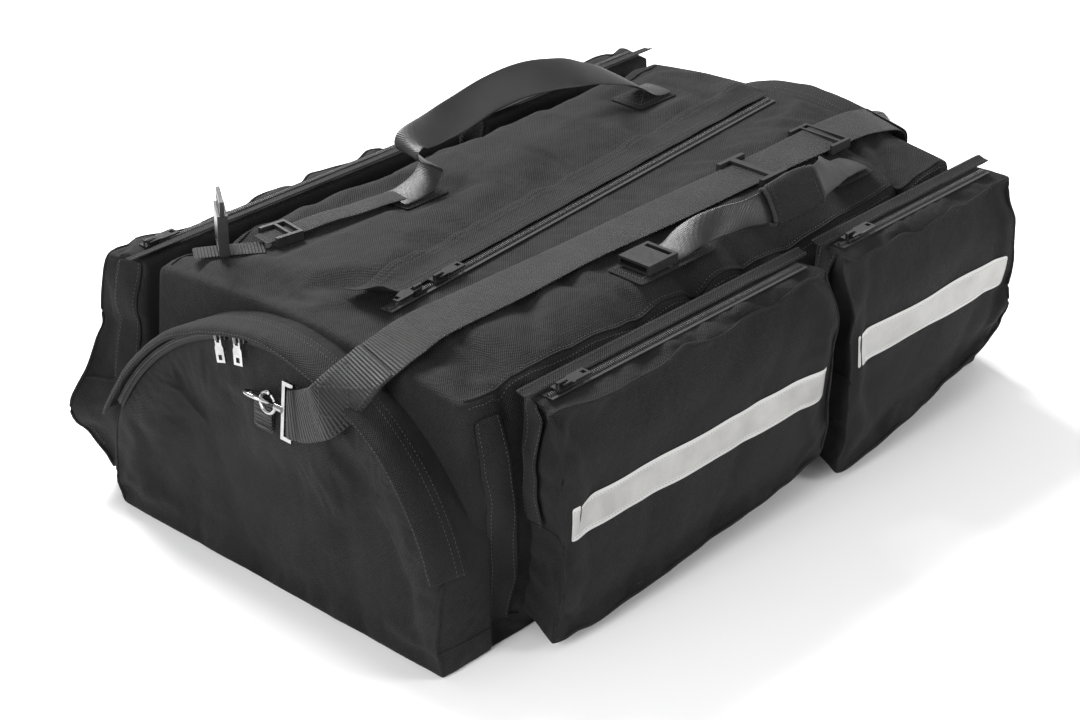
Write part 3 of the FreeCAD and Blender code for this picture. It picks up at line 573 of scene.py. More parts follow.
def flatten_top(x, y, z):
    """Presses the body's cloth down under the parts that lie on it."""
    limit = 0.284
    near_zip = abs((Vector((x, y, 0)) - Vector((ZIP_MIDDLE.x, ZIP_MIDDLE.y, 0))).dot(ZIP_SIDE))
    limit = min(limit, BODY_TOP - 0.0008 + 0.014 * step(near_zip, 0.012, 0.050))
    limit = min(limit, 0.2735 + 0.010 * step(abs(y - STRAP_LINE), 0.024, 0.045))
    for centre_x, centre_y, half_x, half_y in SEATS:
        off = max(abs(x - centre_x) - half_x, abs(y - centre_y) - half_y)
        limit = min(limit, BODY_TOP - 0.0008 + 0.014 * step(off, 0.0, 0.030))
    return min(z, limit)


SEATS = ((-0.106, 0.117, 0.032, 0.025), (0.245, 0.117, 0.032, 0.025), (-0.047, -0.162, 0.060, 0.025),
         (0.229, -0.162, 0.032, 0.025), (-0.213, 0.131, 0.080, 0.018), (-0.318, 0.153, 0.016, 0.020),
         (-0.069, -0.162, 0.024, 0.024))

POCKETS = {
    "right_long": (-1, 0.036), "right_short": (-1, 0.062),
    "left_long": (1, 0.030), "left_short": (1, 0.045),
}


def make_shells():
    shells = {}
    shells["main"] = Shell("main_cloth", (84, 52, 28), main_shape, (0.72, 0.45, 0.268), main_held,
                           "main_compartment")
    for name, end in (("near", -1), ("far", 1)):
        shells["end_" + name] = Shell(
            "end_pocket_%s_cloth" % name, (9, 60, 36), end_shape(end), (0.07, 0.45, 0.262), end_held,
            "end_pocket_" + name)
    for name, (side, tail) in POCKETS.items():
        low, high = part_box("side_pocket_" + name)
        cells = (round((high[0] - low[0]) / 0.0075), 9, 32)
        shells[name] = Shell("side_pocket_%s_cloth" % name, cells, pocket_shape(name, side, tail),
                             (high[0] - low[0], 0.065, 0.24), pocket_held, "side_pocket_" + name)
    jobs = []
    for name, shell in shells.items():
        if name == "main":
            jobs.append((shell, 1.8, 0.050, 0.08, 0.014))
        elif name.startswith("end"):
            jobs.append((shell, 2.6, 0.055, 0.08, 0.015))
        else:
            jobs.append((shell, 2.6, 0.050, 0.08, 0.012))
    simulate(jobs)
    folds = {
        "main": ((0.25, 1, 0.2), 0.0042),
        "end_near": ((0, 0.35, 1), 0.0046), "end_far": ((0, -0.3, 1), 0.0046),
        "right_long": ((0.5, 0, 1), 0.0034), "right_short": ((0.8, 0, 0.8), 0.0036),
        "left_long": ((-0.5, 0, 1), 0.0040), "left_short": ((0.4, 0, 1), 0.0034),
    }
    for number, (name, (fold, size)) in enumerate(folds.items()):
        crumple(shells[name], fold, size, 3.7 * (number + 1))
    for vertex in shells["main"].piece.data.vertices:
        vertex.co.z = flatten_top(*vertex.co)
    for shell in shells.values():
        refine(shell.piece)
    return shells


# ---------------------------------------------------------------- laying things on the cloth

def crumple(shell, fold, size, seed):
    """Soft creases along the fold direction, fading out where the cloth is held."""
    group = shell.piece.vertex_groups["held"]
    fold = Vector(fold).normalized()
    moves = []
    for vertex in shell.piece.data.vertices:
        weight = 0.0
        for member in vertex.groups:
            if member.group == group.index:
                weight = member.weight
        spot = vertex.co
        along = spot.dot(fold)
        flat = (spot - fold * along) * 13 + fold * (along * 3.2)
        ridge = 1 - abs(noise.noise(flat + Vector((seed, -seed, seed)))) * 2
        fine = noise.noise(spot * 36 + Vector((seed, seed, 0)))
        depth = (max(0.0, ridge) ** 3 - 0.35) * size + fine * size * 0.28
        moves.append(vertex.normal * (depth * (1 - 0.85 * weight)))
    for vertex, move in zip(shell.piece.data.vertices, moves):
        vertex.co += move
        vertex.co.z = max(vertex.co.z, 0.0006)


class Skin:
    """The finished outer surface of some shells, to lay seams and straps on."""

    def __init__(self, shells):
        graph = bpy.context.evaluated_depsgraph_get()
        self.trees = [BVHTree.FromObject(shell.piece, graph) for shell in shells]

    def lay(self, point, inward, reach=0.05):
        """The cloth met by a line through the point along the inward direction."""
        inward = Vector(inward).normalized()
        best = None
        for tree in self.trees:
            hit = tree.ray_cast(Vector(point) - inward * reach, inward, 2 * reach)
            if hit[0] is not None and (best is None or hit[3] < best[3]):
                best = hit
        if best is None:
            return Vector(point), -inward
        return best[0], best[1]

    def snap(self, point):
        found = [tree.find_nearest(Vector(point)) for tree in self.trees]
        found = [hit for hit in found if hit[0] is not None]
        best = min(found, key=lambda hit: hit[3])
        return best[0], best[1]


def smooth_path(points, gap):
    """Catmull-Rom through the points, sampled about every gap metres."""
    points = [Vector(p) for p in points]
    padded = [points[0] * 2 - points[1]] + points + [points[-1] * 2 - points[-2]]
    path = []
    for index in range(1, len(padded) - 2):
        p0, p1, p2, p3 = padded[index - 1:index + 3]
        count = max(1, round((p2 - p1).length / gap))
        for part in range(count):
            t = part / count
            path.append(0.5 * ((2 * p1) + (p2 - p0) * t + (2 * p0 - 5 * p1 + 4 * p2 - p3) * t * t
                               + (3 * p1 - p0 - 3 * p2 + p3) * t ** 3))
    path.append(points[-1])
    return path


def run_lengths(points):
    total = 0.0
    lengths = [0.0]
    for before, after in zip(points, points[1:]):
        total += (after - before).length
        lengths.append(total)
    return lengths


def cloth_strip(name, rows, thick, material, body="bag", levels=1):
    """A two-sided sheet through rows of points: rows run along it, each row across it."""
    count, width = len(rows), len(rows[0])
    along = run_lengths([row[width // 2] for row in rows])
    verts, uvs_at, faces = [], [], []
    for index, row in enumerate(rows):
        after = rows[min(index + 1, count - 1)]
        before = rows[max(index - 1, 0)]
        across = run_lengths(row)
        for place in range(width):
            way = after[place] - before[place]
            side = row[min(place + 1, width - 1)] - row[max(place - 1, 0)]
            normal = way.cross(side)
            normal = normal.normalized() if normal.length > 1e-12 else UP
            edge = 0.55 if place in (0, width - 1) or index in (0, count - 1) else 1.0
            for sign in (1, -1):
                verts.append(row[place] + normal * (thick / 2 * sign * edge))
                uvs_at.append((along[index], across[place] - across[-1] / 2))

    def at(index, place, under):
        return (index * width + place) * 2 + under

    for index in range(count - 1):
        for place in range(width - 1):
            top = [at(index, place, 0), at(index + 1, place, 0),
                   at(index + 1, place + 1, 0), at(index, place + 1, 0)]
            faces.append(top)
            faces.append([corner + 1 for corner in top[::-1]])
        for place, turn in ((0, 1), (width - 1, -1)):
            quad = [at(index, place, 0), at(index, place, 1),
                    at(index + 1, place, 1), at(index + 1, place, 0)]
            faces.append(quad[::turn])
    for place in range(width - 1):
        for index, turn in ((0, -1), (count - 1, 1)):
            quad = [at(index, place, 0), at(index, place, 1),
                    at(index, place + 1, 1), at(index, place + 1, 0)]
            faces.append(quad[::turn])
    uvs = [uvs_at[vertex] for face in faces for vertex in face]
    piece = add_piece(name, verts, faces, material, body, uvs)
    if levels:
        refine(piece, levels)
    return piece


def tube_mesh(points, radius, sides=8, flat=1.0, normals=None):
    """Vertices, faces and UVs of a round run closed at both ends."""
    verts, faces, marks = [], [], []
    lengths = run_lengths(points)
    for index, point in enumerate(points):
        way = (points[min(index + 1, len(points) - 1)] - points[max(index - 1, 0)]).normalized()
        up = normals[index] if normals else UP
        side = way.cross(up)
        side = side.normalized() if side.length > 1e-6 else Vector((1, 0, 0))
        up = side.cross(way)
        scale = 0.4 if index in (0, len(points) - 1) else 1.0
        for corner in range(sides):
            turn = 2 * math.pi * corner / sides
            verts.append(point + (side * math.cos(turn) + up * math.sin(turn) * flat) * radius * scale)
            marks.append((lengths[index], turn * radius))
    for index in range(len(points) - 1):
        for corner in range(sides):
            nxt = (corner + 1) % sides
            faces.append([index * sides + corner, index * sides + nxt,
                          (index + 1) * sides + nxt, (index + 1) * sides + corner])
    last = (len(points) - 1) * sides
    faces.append(list(range(sides))[::-1])
    faces.append([last + corner for corner in range(sides)])
    return verts, faces, marks


class Gather:
    """Collects many small closed runs and makes them one object."""

    def __init__(self):
        self.verts, self.faces, self.marks = [], [], []

    def add(self, verts, faces, marks=None):
        base = len(self.verts)
        self.verts += verts
        self.faces += [[corner + base for corner in face] for face in faces]
        self.marks += marks if marks else [(v[0], v[1]) for v in verts]

    def tube(self, points, radius, **how):
        self.add(*tube_mesh(points, radius, **how))

    def stitches(self, points, normals, pitch=0.0042, length=0.0030, radius=0.00042):
        """A line of stitches, each a short bead along the path."""
        lengths = run_lengths(points)
        place, index = pitch / 2, 0
        while place < lengths[-1]:
            while lengths[index + 1] < place:
                index += 1
            part = (place - lengths[index]) / max(lengths[index + 1] - lengths[index], 1e-9)
            middle = points[index].lerp(points[index + 1], part)
            way = (points[index + 1] - points[index]).normalized()
            up = normals[index]
            side = way.cross(up).normalized()
            lift = up * radius * 0.4
            verts = [middle - way * length / 2, middle + way * length / 2]
            verts += [middle + lift + (side * x + up * y) * radius
                      for x, y in ((-1, 0), (0, 1), (1, 0), (0, -1))]
            self.add(verts, [[0, 3, 2], [0, 4, 3], [0, 5, 4], [0, 2, 5],
                             [1, 2, 3], [1, 3, 4], [1, 4, 5], [1, 5, 2]])
            place += pitch

    def make(self, name, material, body="bag"):
        uvs = [self.marks[vertex] for face in self.faces for vertex in face]
        return add_piece(name, self.verts, self.faces, material, body, uvs)


def offset_line(points, normals, shift):
    """The line moved sideways along the cloth by shift metres."""
    moved = []
    for index, point in enumerate(points):
        way = (points[min(index + 1, len(points) - 1)] - points[max(index - 1, 0)]).normalized()
        moved.append(point + way.cross(normals[index]).normalized() * shift)
    return moved


# ---------------------------------------------------------------- zips

def end_point(end, u, v, w):
    """A point in the frame of an end's leaning face: u across, v up it, w out of it."""
    return Vector((end * END_REACH - end * math.sin(LEAN) * v + end * math.cos(LEAN) * w,
                   end * u, math.cos(LEAN) * v + math.sin(LEAN) * w))


def end_out(end):
    return Vector((end * math.cos(LEAN), 0, math.sin(LEAN)))


def zip_run(name, points, normals, node):
    """Two woven tapes and a double row of coil turns along the points."""
    tape = Gather()
    for side in (-1, 1):
        rows = []
        for shift in (0.0004, 0.0035, 0.0068):
            rows.append(offset_line(points, normals, side * shift))
        verts, faces, marks = [], [], []
        lengths = run_lengths(points)
        for index in range(len(points)):
            for layer in (0.0010, 0.0002):
                for place in range(3):
                    verts.append(rows[place][index] + normals[index] * layer)
                    marks.append((lengths[index], side * place * 0.0032))
        for index in range(len(points) - 1):
            for place in range(2):
                top = [index * 6 + place, index * 6 + place + 1, index * 6 + place + 7, index * 6 + place + 6]
                faces.append(top)
                faces.append([corner + 3 for corner in top[::-1]])
            for place in (0, 2):
                first = index * 6 + place
                faces.append([first, first + 6, first + 9, first + 3])
        tape.add(verts, faces, marks)
    tapes = tape.make(name + "_tapes", BINDING)
    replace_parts(tapes, node)
    coil = Gather()
    lengths = run_lengths(points)
    pitch = 0.0024
    place, index, hand = pitch, 0, 1
    while place < lengths[-1] - pitch:
        while lengths[index + 1] < place:
            index += 1
        part = (place - lengths[index]) / (lengths[index + 1] - lengths[index])
        middle = points[index].lerp(points[index + 1], part)
        way = (points[index + 1] - points[index]).normalized()
        up = normals[index]
        side = way.cross(up).normalized() * hand
        half = way * 0.00075
        ring = []
        for across, height in ((-0.0004, 0.0024), (0.0010, 0.0030), (0.0024, 0.0026), (0.0030, 0.0014)):
            ring.append(middle + side * across + up * height)
        verts = []
        for point in ring:
            verts += [point - half, point + half, point + half - up * 0.0011, point - half - up * 0.0011]
        faces = [[0, 1, 2, 3], [15, 14, 13, 12]]
        for section in range(3):
            for corner in range(4):
                nxt = (corner + 1) % 4
                faces.append([section * 4 + corner, section * 4 + 4 + corner,
                              section * 4 + 4 + nxt, section * 4 + nxt])
        coil.add(verts, faces)
        hand = -hand
        place += pitch / 2
    coil.make(name + "_coil", COIL)


def straight_points(start, end, gap=0.02):
    count = max(2, round((end - start).length / gap))
    return [start.lerp(end, index / count) for index in range(count + 1)]


def arc_points(end, radius, low, high, w, gap=0.012):
    """Points round an end's arch; angles are from the top towards +u."""
    count = max(2, round(radius * math.radians(high - low) / gap))
    points = []
    for index in range(count + 1):
        angle = math.radians(low + (high - low) * index / count)
        points.append(end_point(end, radius * math.sin(angle), ARCH_LEVEL + radius * math.cos(angle), w))
    return points


def make_zips():
    points = straight_points(ZIP_MIDDLE - ZIP_WAY * ZIP_HALF, ZIP_MIDDLE + ZIP_WAY * ZIP_HALF)
    zip_run("main_zip", points, [UP] * len(points), "main_zip")
    for name, end in (("near", -1), ("far", 1)):
        points = arc_points(end, ZIP_RADIUS, -64, 64, 0.0)
        zip_run("end_zip_" + name, points, [end_out(end)] * len(points), "end_zip_" + name)
    for name, (side, _) in POCKETS.items():
        low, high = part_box("side_zip_" + name)
        line = side * POCKET_ZIP
        points = straight_points(Vector((low[0], line, POCKET_TOP)), Vector((high[0], line, POCKET_TOP)))
        zip_run("side_zip_" + name, points, [UP] * len(points), "side_zip_" + name)


# ---------------------------------------------------------------- storm flaps

def make_main_flap(skin, thread):
    """The flap sewn along the far side of the main zip, its near corner curling up."""
    rows = []
    count = 66
    for index in range(count + 1):
        along = -ZIP_HALF - 0.006 + (2 * ZIP_HALF + 0.012) * index / count
        row = []
        for part in (0.0, 0.12, 0.3, 0.5, 0.7, 0.88, 1.0):
            across = 0.0062 + 0.0430 * part
            spot = ZIP_MIDDLE + ZIP_WAY * along + ZIP_SIDE * across
            ground, _ = skin.lay(spot, -UP)
            height = max(ground.z, BODY_TOP - 0.001) + 0.0016
            height += 0.0030 * (1 - part) ** 2 + 0.0012 * ripple(spot.x, spot.y, 0, 30, 2.0) * (1 - part)
            curl = (1 - step(along, -ZIP_HALF - 0.006, -ZIP_HALF + 0.052))
            height += 0.022 * curl ** 2 * (1 - 0.75 * part)
            row.append(Vector((spot.x, spot.y, height)))
        rows.append(row)
    flap = cloth_strip("main_storm_flap_cloth", rows, 0.0022, LIP_CLOTH)
    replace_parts(flap, "main_storm_flap")
    for place in (1, 5):
        line = [row[place] + UP * 0.0012 for row in rows]
        thread.stitches(line, [UP] * len(line))
        line = [row[place] + UP * 0.0012 + ZIP_SIDE * (0.006 if place == 1 else -0.006) for row in rows]
        thread.stitches(line, [UP] * len(line))


LIP_PROFILE = ((0.2488, -0.030), (0.2494, -0.023), (0.2498, -0.015), (0.2500, -0.007), (0.2500, 0.001),
               (0.2490, 0.0060), (0.2470, 0.0096), (0.2438, 0.0112), (0.2404, 0.0112))


def make_lip(end, thread):
    """The broad rain lip sewn round an end pocket's arch; it hides the zip from above."""
    name = "near" if end < 0 else "far"
    rows = []
    normals = []
    count = 84
    for index in range(count + 1):
        angle = math.radians(-68 + 136 * index / count)
        sway = 0.0050 * ripple(angle, end, 0.3, 3.6, 4.0) + 0.0016 * ripple(angle, end, 0.7, 11.0, 7.0)
        row = []
        for radius, w in LIP_PROFILE:
            wave = sway * step(w, -0.01, 0.012)
            reach = radius + wave
            level = ARCH_LEVEL + reach * math.cos(angle)
            row.append(end_point(end, reach * math.sin(angle), level, w + wave * 0.5))
        rows.append([Vector((p.x, max(-BODY_SIDE - 0.006, min(BODY_SIDE + 0.006, p.y)), p.z)) for p in row])
        normals.append(end_point(end, math.sin(angle), math.cos(angle), 0) - end_point(end, 0, 0, 0))
    if end > 0:
        rows = [row[::-1] for row in rows]
    lip = cloth_strip("end_lip_" + name, rows, 0.0024, LIP_CLOTH)
    for place in (1, 2, 7):
        place = place if end < 0 else len(LIP_PROFILE) - 1 - place
        line = []
        up = []
        for row, normal in zip(rows, normals):
            face = normal if place in (1, 2) or (end > 0 and place > 5) else end_out(end)
            line.append(row[place] + face * 0.0012)
            up.append(face)
        thread.stitches(line, up)


def make_pocket_flap(name, side, thread):
    """The flap along a side pocket's top that covers the back half of its zip."""
    low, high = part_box("side_pocket_" + name)
    rows = []
    length = high[0] - low[0]
    count = max(12, round(length / 0.010))
    for index in range(count + 1):
        x = low[0] - 0.003 + (length + 0.006) * index / count
        row = []
        for part in (0.0, 0.2, 0.4, 0.6, 0.8, 1.0):
            y = BODY_SIDE - 0.001 + 0.0140 * part
            z = POCKET_TOP + 0.0012 + 0.0060 * (1 - part) ** 1.5 + 0.0025 * part
            z += 0.0014 * ripple(x, y, 0.1, 26, 6.0) * part
            row.append(Vector((x, side * y, z)))
        rows.append(row if side > 0 else row[::-1])
    flap = cloth_strip("pocket_flap_" + name, rows, 0.0022, LIP_CLOTH)
    for place in (1, 4):
        place = place if side > 0 else 5 - place
        line = [row[place] + UP * 0.0012 for row in rows]
        thread.stitches(line, [UP] * len(line))


# ---------------------------------------------------------------- seams

STITCH_LIFT = 0.0003


def snapped(shell, skin, keys, lift):
    """The shell's points at some keys, lifted off its finished surface, and the normals there."""
    points, normals = [], []
    for key in keys:
        spot, normal = skin.snap(shell.point(key))
        points.append(spot + normal * lift)
        normals.append(normal)
    return points, normals


def make_pocket_seams(shell, skin, piping, thread):
    """Corded seams round a side pocket's outer face, with a row of stitches inside each."""
    nx, ny, nz = shell.counts
    edges = [
        [(i, ny, nz) for i in range(nx + 1)],
        [(0, ny, k) for k in range(nz + 1)],
        [(nx, ny, k) for k in range(nz + 1)],
        [(i, ny, 0) for i in range(nx + 1)],
    ]
    inner = [
        [(i, ny, nz - 1) for i in range(1, nx)],
        [(1, ny, k) for k in range(1, nz)],
        [(nx - 1, ny, k) for k in range(1, nz)],
        [(i, ny, 1) for i in range(1, nx)],
    ]
    for keys, beside in zip(edges, inner):
        line, _ = snapped(shell, skin, keys, 0.0004)
        piping.tube(smooth_path(line[::2] if len(line) % 2 else line, 0.006), 0.0017, sides=8)
        thread.stitches(*snapped(shell, skin, beside, STITCH_LIFT))
    thread.stitches(*snapped(shell, skin, [(i, ny - 1, nz) for i in range(1, nx)], STITCH_LIFT))


def make_end_seams(shell, skin, piping, thread):
    """The corded seam down each side of an end pocket's face, with a row of stitches inside it."""
    nx, ny, nz = shell.counts
    top = nz - 12
    for j, inside in ((0, 1), (ny, ny - 1)):
        line, _ = snapped(shell, skin, [(nx, j, k) for k in range(top)], STITCH_LIFT)
        piping.tube(smooth_path(line[::2], 0.006), 0.0018, sides=8)
        thread.stitches(*snapped(shell, skin, [(nx, inside, k) for k in range(1, top)], STITCH_LIFT))


def make_body_seams(skin, piping, thread):
    """Seams along the bag's shoulders and foot, with rows of stitches beside them."""
    for side in (-1, 1):
        for line_y in (0.196, 0.204):
            line, ups = [], []
            for index in range(73):
                x = -0.356 + 0.712 * index / 72
                spot, normal = skin.lay(Vector((x, side * line_y, 0.26)), Vector((0, 0, -1)))
                line.append(spot + normal * 0.0004)
                ups.append(normal)
            thread.stitches(line, ups)
            if line_y == 0.196:
                piping.tube(offset_line(line, ups, 0.003), 0.0013, sides=6)
    foot = []
    for index in range(15):
        x = -0.421 + 0.108 * index / 14
        spot, normal = skin.lay(Vector((x, -0.225, 0.030 - 0.006 * index / 14)), Vector((0, 1, 0)))
        foot.append(spot + normal * 0.0006)
    piping.tube(foot, 0.0020, sides=8)


def make_side_binding(skin, thread):
    """The wide tape sewn down the bag's flank between the near end and the long pocket."""
    rows = []
    for index in range(27):
        z = 0.236 - 0.212 * index / 26
        row = []
        for place in range(5):
            x = -0.351 + 0.028 * place / 4 + 0.0016 * ripple(0, z, 0, 14, 2.2)
            spot, normal = skin.lay(Vector((x, -0.232, z)), Vector((0, 1, -0.15 * step(z, 0.19, 0.24))))
            row.append(spot + normal * (0.0014 + 0.0012 * step(place, 2.0, 4.0)))
        rows.append(row)
    tape = cloth_strip("side_binding", rows, 0.0020, LIP_CLOTH)
    for place in (0, 3):
        line = [row[place].lerp(row[place + 1], 0.4) + Vector((0, -0.0013, 0)) for row in rows]
        thread.stitches(line, [Vector((0, -1, 0))] * len(line))


def make_gusset(name, side, skin, piping, thread):
    """The flap over the zip where it turns down a pocket's near end, and the seam below it."""
    low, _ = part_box("side_pocket_" + name)
    rows = []
    for index in range(15):
        z = 0.249 - 0.125 * index / 14
        row = []
        for place in range(5):
            y = side * (BODY_SIDE + 0.002 + 0.024 * place / 4)
            spot, _ = skin.lay(Vector((low[0], y, z)), Vector((1, 0, 0)))
            lift = 0.0018 + 0.0040 * (place / 4) ** 2 + 0.0010 * ripple(y, z, 0, 30, 3.0)
            row.append(spot - Vector((lift, 0, 0)))
        rows.append(row if side < 0 else row[::-1])
    flap = cloth_strip("gusset_flap_" + name, rows, 0.0022, LIP_CLOTH)
    for place in (0, 3):
        line = [row[place].lerp(row[place + 1], 0.5) - Vector((0.0013, 0, 0)) for row in rows]
        thread.stitches(line, [Vector((-1, 0, 0))] * len(line))
    seam = []
    for index in range(9):
        y = side * (BODY_SIDE + 0.002 + 0.056 * index / 8)
        spot, normal = skin.lay(Vector((low[0], y, 0.121 - 0.004 * index / 8)), Vector((1, 0, 0)))
        seam.append(spot + normal * 0.0005)
    piping.tube(seam, 0.0018, sides=8)


# ---------------------------------------------------------------- reflective bands

def make_band(name, side, skin, grey_thread):
    low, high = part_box("reflective_band_" + name)
    rows = []
    length = high[0] - low[0]
    count = round(length / 0.009)
    for index in range(count + 1):
        x = low[0] + length * index / count
        row = []
        sway = 0.0015 * ripple(x, 0, 0.4, 10, 8.0)
        for part in (0.0, 0.12, 0.38, 0.62, 0.88, 1.0):
            z = low[2] + sway + (high[2] - low[2]) * part
            spot, _ = skin.lay(Vector((x, side * POCKET_OUT, z)), Vector((0, -side, 0)))
            row.append(spot + Vector((0, side, 0)) * 0.0007)
        rows.append(row if side < 0 else row[::-1])
    band = cloth_strip("band_" + name, rows, 0.0008, TAPE)
    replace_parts(band, "reflective_band_" + name)
    out = Vector((0, side, 0))
    for place in (1, 4):
        line = [row[place] + out * 0.0006 for row in rows]
        grey_thread.stitches(line, [out] * len(line), radius=0.0004)


# ---------------------------------------------------------------- webbing

def web_rows(path, across, width, cup=0.0, columns=7):
    """Rows for flat webbing along a path; across and width are given at each point."""
    rows = []
    for index, point in enumerate(path):
        way = (path[min(index + 1, len(path) - 1)] - path[max(index - 1, 0)]).normalized()
        side = across[index] - way * across[index].dot(way)
        side.normalize()
        normal = way.cross(side)
        row = []
        for column in range(columns):
            part = column / (columns - 1) * 2 - 1
            row.append(point + side * (part * width[index] / 2) + normal * (cup * (1 - part * part)))
        rows.append(row)
    return rows


def webbing(name, stations, thick, material, gap=0.008, cup=0.0, body="bag", levels=1):
    """Webbing through stations of (point, across, width), smoothly joined."""
    path = smooth_path([station[0] for station in stations], gap)
    scaled = [Vector(station[1]).normalized() * 0.05 for station in stations]
    widths = [Vector((station[2], 0, 0)) for station in stations]
    across, width = [], []
    padded_points = [Vector(station[0]) for station in stations]
    for index in range(len(stations) - 1):
        count = max(1, round((padded_points[index + 1] - padded_points[index]).length / gap))
        for part in range(count):
            t = part / count
            t = t * t * (3 - 2 * t)
            across.append(scaled[index].lerp(scaled[index + 1], t))
            width.append(widths[index].lerp(widths[index + 1], t).x)
    across.append(scaled[-1])
    width.append(widths[-1].x)
    rows = web_rows(path, across, width, cup)
    piece = cloth_strip(name, rows, thick, material, body, levels)
    return piece, rows


def strap_stations(end):
    """The shoulder strap from its hook's eye, slanting up the leaning face and over the arch."""
    hand = -end
    up = end_point(end, 0, 1, 0) - end_point(end, 0, 0, 0)
    over = Vector((0, 1, 0))
    stations = []
    for u, v, w, slant in ((EYE_FAR + 0.0003, HOOK_UP, 0.0130, 0.0),
                           (EYE_FAR + 0.012, HOOK_UP + 0.003, 0.0135, 0.12),
                           (EYE_FAR + 0.030, HOOK_UP + 0.012, 0.0150, 0.36),
                           (EYE_FAR + 0.047, HOOK_UP + 0.024, 0.0170, 0.60)):
        stations.append((end_point(end, u * hand, v, w), up + over * slant, 0.050))
    stations.append((Vector((end * 0.380, -0.108, 0.2630)), Vector((-end * 0.42, 0.80, 0.42)), 0.050))
    stations.append((Vector((end * 0.350, -0.112, 0.2745)), Vector((-end * 0.26, 0.94, 0.22)), 0.050))
    onto_lid = Vector((end * 0.306, STRAP_LINE - 0.003, 0.2782))
    stations.append((onto_lid, Vector((-end * 0.04, 1, 0.10)), 0.050))
    return stations


HOOK_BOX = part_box("snap_hook_near")
EYE_FAR = -HOOK_BOX[0][1] + 0.0005
HOOK_UP = 0.206


def eye_loops():
    """The strap's turn round each hook's far eye bar."""
    for end in (-1, 1):
        name = "near" if end < 0 else "far"
        hand = -end
        up = end_point(end, 0, 1, 0) - end_point(end, 0, 0, 0)
        middle = EYE_FAR - 0.0025
        stations = []
        for degrees in (-95, -60, -20, 20, 60, 95):
            turn = math.radians(degrees + 180)
            stations.append((end_point(end, (middle + 0.0040 * math.cos(turn)) * hand, HOOK_UP,
                                       0.0130 + 0.0042 * math.sin(turn)), up, 0.049))
        first = (end_point(end, (EYE_FAR + 0.008) * hand, HOOK_UP + 0.002, 0.0092), up, 0.049)
        last = (end_point(end, (EYE_FAR + 0.008) * hand, HOOK_UP + 0.002, 0.0166), up, 0.049)
        stations = [last] + stations + [first]
        webbing("shoulder_strap_turn_" + name, stations, 0.0022, RIBBED, gap=0.003)


FOLD_LENGTH = 0.118
FOLD_LIFT = 0.0026


def make_shoulder_strap(thread):
    near = strap_stations(-1)
    far = strap_stations(1)
    middle = [
        (Vector((-0.22, STRAP_LINE - 0.002, 0.2775)), Vector((0, 1, 0.06)), 0.050),
        (Vector((-0.10, STRAP_LINE + 0.002, 0.2764)), Vector((0, 1, -0.04)), 0.050),
        (Vector((0.02, STRAP_LINE, 0.2772)), Vector((0, 1, 0.02)), 0.050),
        (Vector((0.12, STRAP_LINE, 0.2770)), Vector((0, 1, 0)), 0.050),
        (Vector((0.20, STRAP_LINE, 0.2770)), Vector((0, 1, 0)), 0.050),
    ]
    strap, rows = webbing("shoulder_strap_web", near + middle + far[::-1], 0.0022, RIBBED)
    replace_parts(strap, "shoulder_strap")
    eye_loops()
    near_layer = folded_layer(rows, False)
    far_layer = folded_layer(rows, True)
    cloth_strip("shoulder_strap_fold_near", near_layer, 0.0022, RIBBED)
    cloth_strip("shoulder_strap_fold_far", far_layer[::-1], 0.0022, RIBBED)
    for layer in (near_layer, far_layer):
        cross_stitch(layer, 0.030, 0.100, thread)


def folded_layer(rows, from_far):
    """The second layer of webbing sewn back along the strap, counted from one of its ends."""
    lengths = run_lengths([row[3] for row in rows])
    layer = []
    for index in (range(len(rows) - 1, -1, -1) if from_far else range(len(rows))):
        reach = lengths[-1] - lengths[index] if from_far else lengths[index]
        if reach > FOLD_LENGTH:
            break
        row = rows[index]
        way = (rows[min(index + 1, len(rows) - 1)][3] - rows[max(index - 1, 0)][3]).normalized()
        side = (row[-1] - row[0]).normalized()
        normal = way.cross(side)
        layer.append([point + normal * FOLD_LIFT for point in row])
    return layer


def cross_stitch(rows, start, stop, thread):
    """A boxed zigzag sewn through doubled webbing between two distances from its end."""
    lengths = run_lengths([row[3] for row in rows])

    def spot(along, part):
        index = 0
        while index < len(lengths) - 2 and lengths[index + 1] < along:
            index += 1
        t = min(1.0, max(0.0, (along - lengths[index]) / max(lengths[index + 1] - lengths[index], 1e-9)))
        place = (part + 1) / 2 * (len(rows[0]) - 1)
        column = min(int(place), len(rows[0]) - 2)
        first = rows[index][column].lerp(rows[index][column + 1], place - column)
        second = rows[index + 1][column].lerp(rows[index + 1][column + 1], place - column)
        way = rows[index + 1][3] - rows[index][3]
        side = rows[index][-1] - rows[index][0]
        normal = way.cross(side).normalized()
        if normal.z < -0.2:
            normal = -normal
        return first.lerp(second, t) + normal * 0.0014, normal

    middle = (start + stop) / 2
    corners = [((start, -0.8), (stop, -0.8)), ((start, 0.8), (stop, 0.8)), ((start, -0.8), (start, 0.8)),
               ((stop, -0.8), (stop, 0.8)), ((start, -0.8), (middle, 0.8)), ((middle, 0.8), (stop, -0.8)),
               ((start, 0.8), (middle, -0.8)), ((middle, -0.8), (stop, 0.8))]
    for (a0, p0), (a1, p1) in corners:
        points, normals = [], []
        for part in range(13):
            t = part / 12
            point, normal = spot(a0 + (a1 - a0) * t, p0 + (p1 - p0) * t)
            points.append(point)
            normals.append(normal)
        thread.stitches(points, normals)


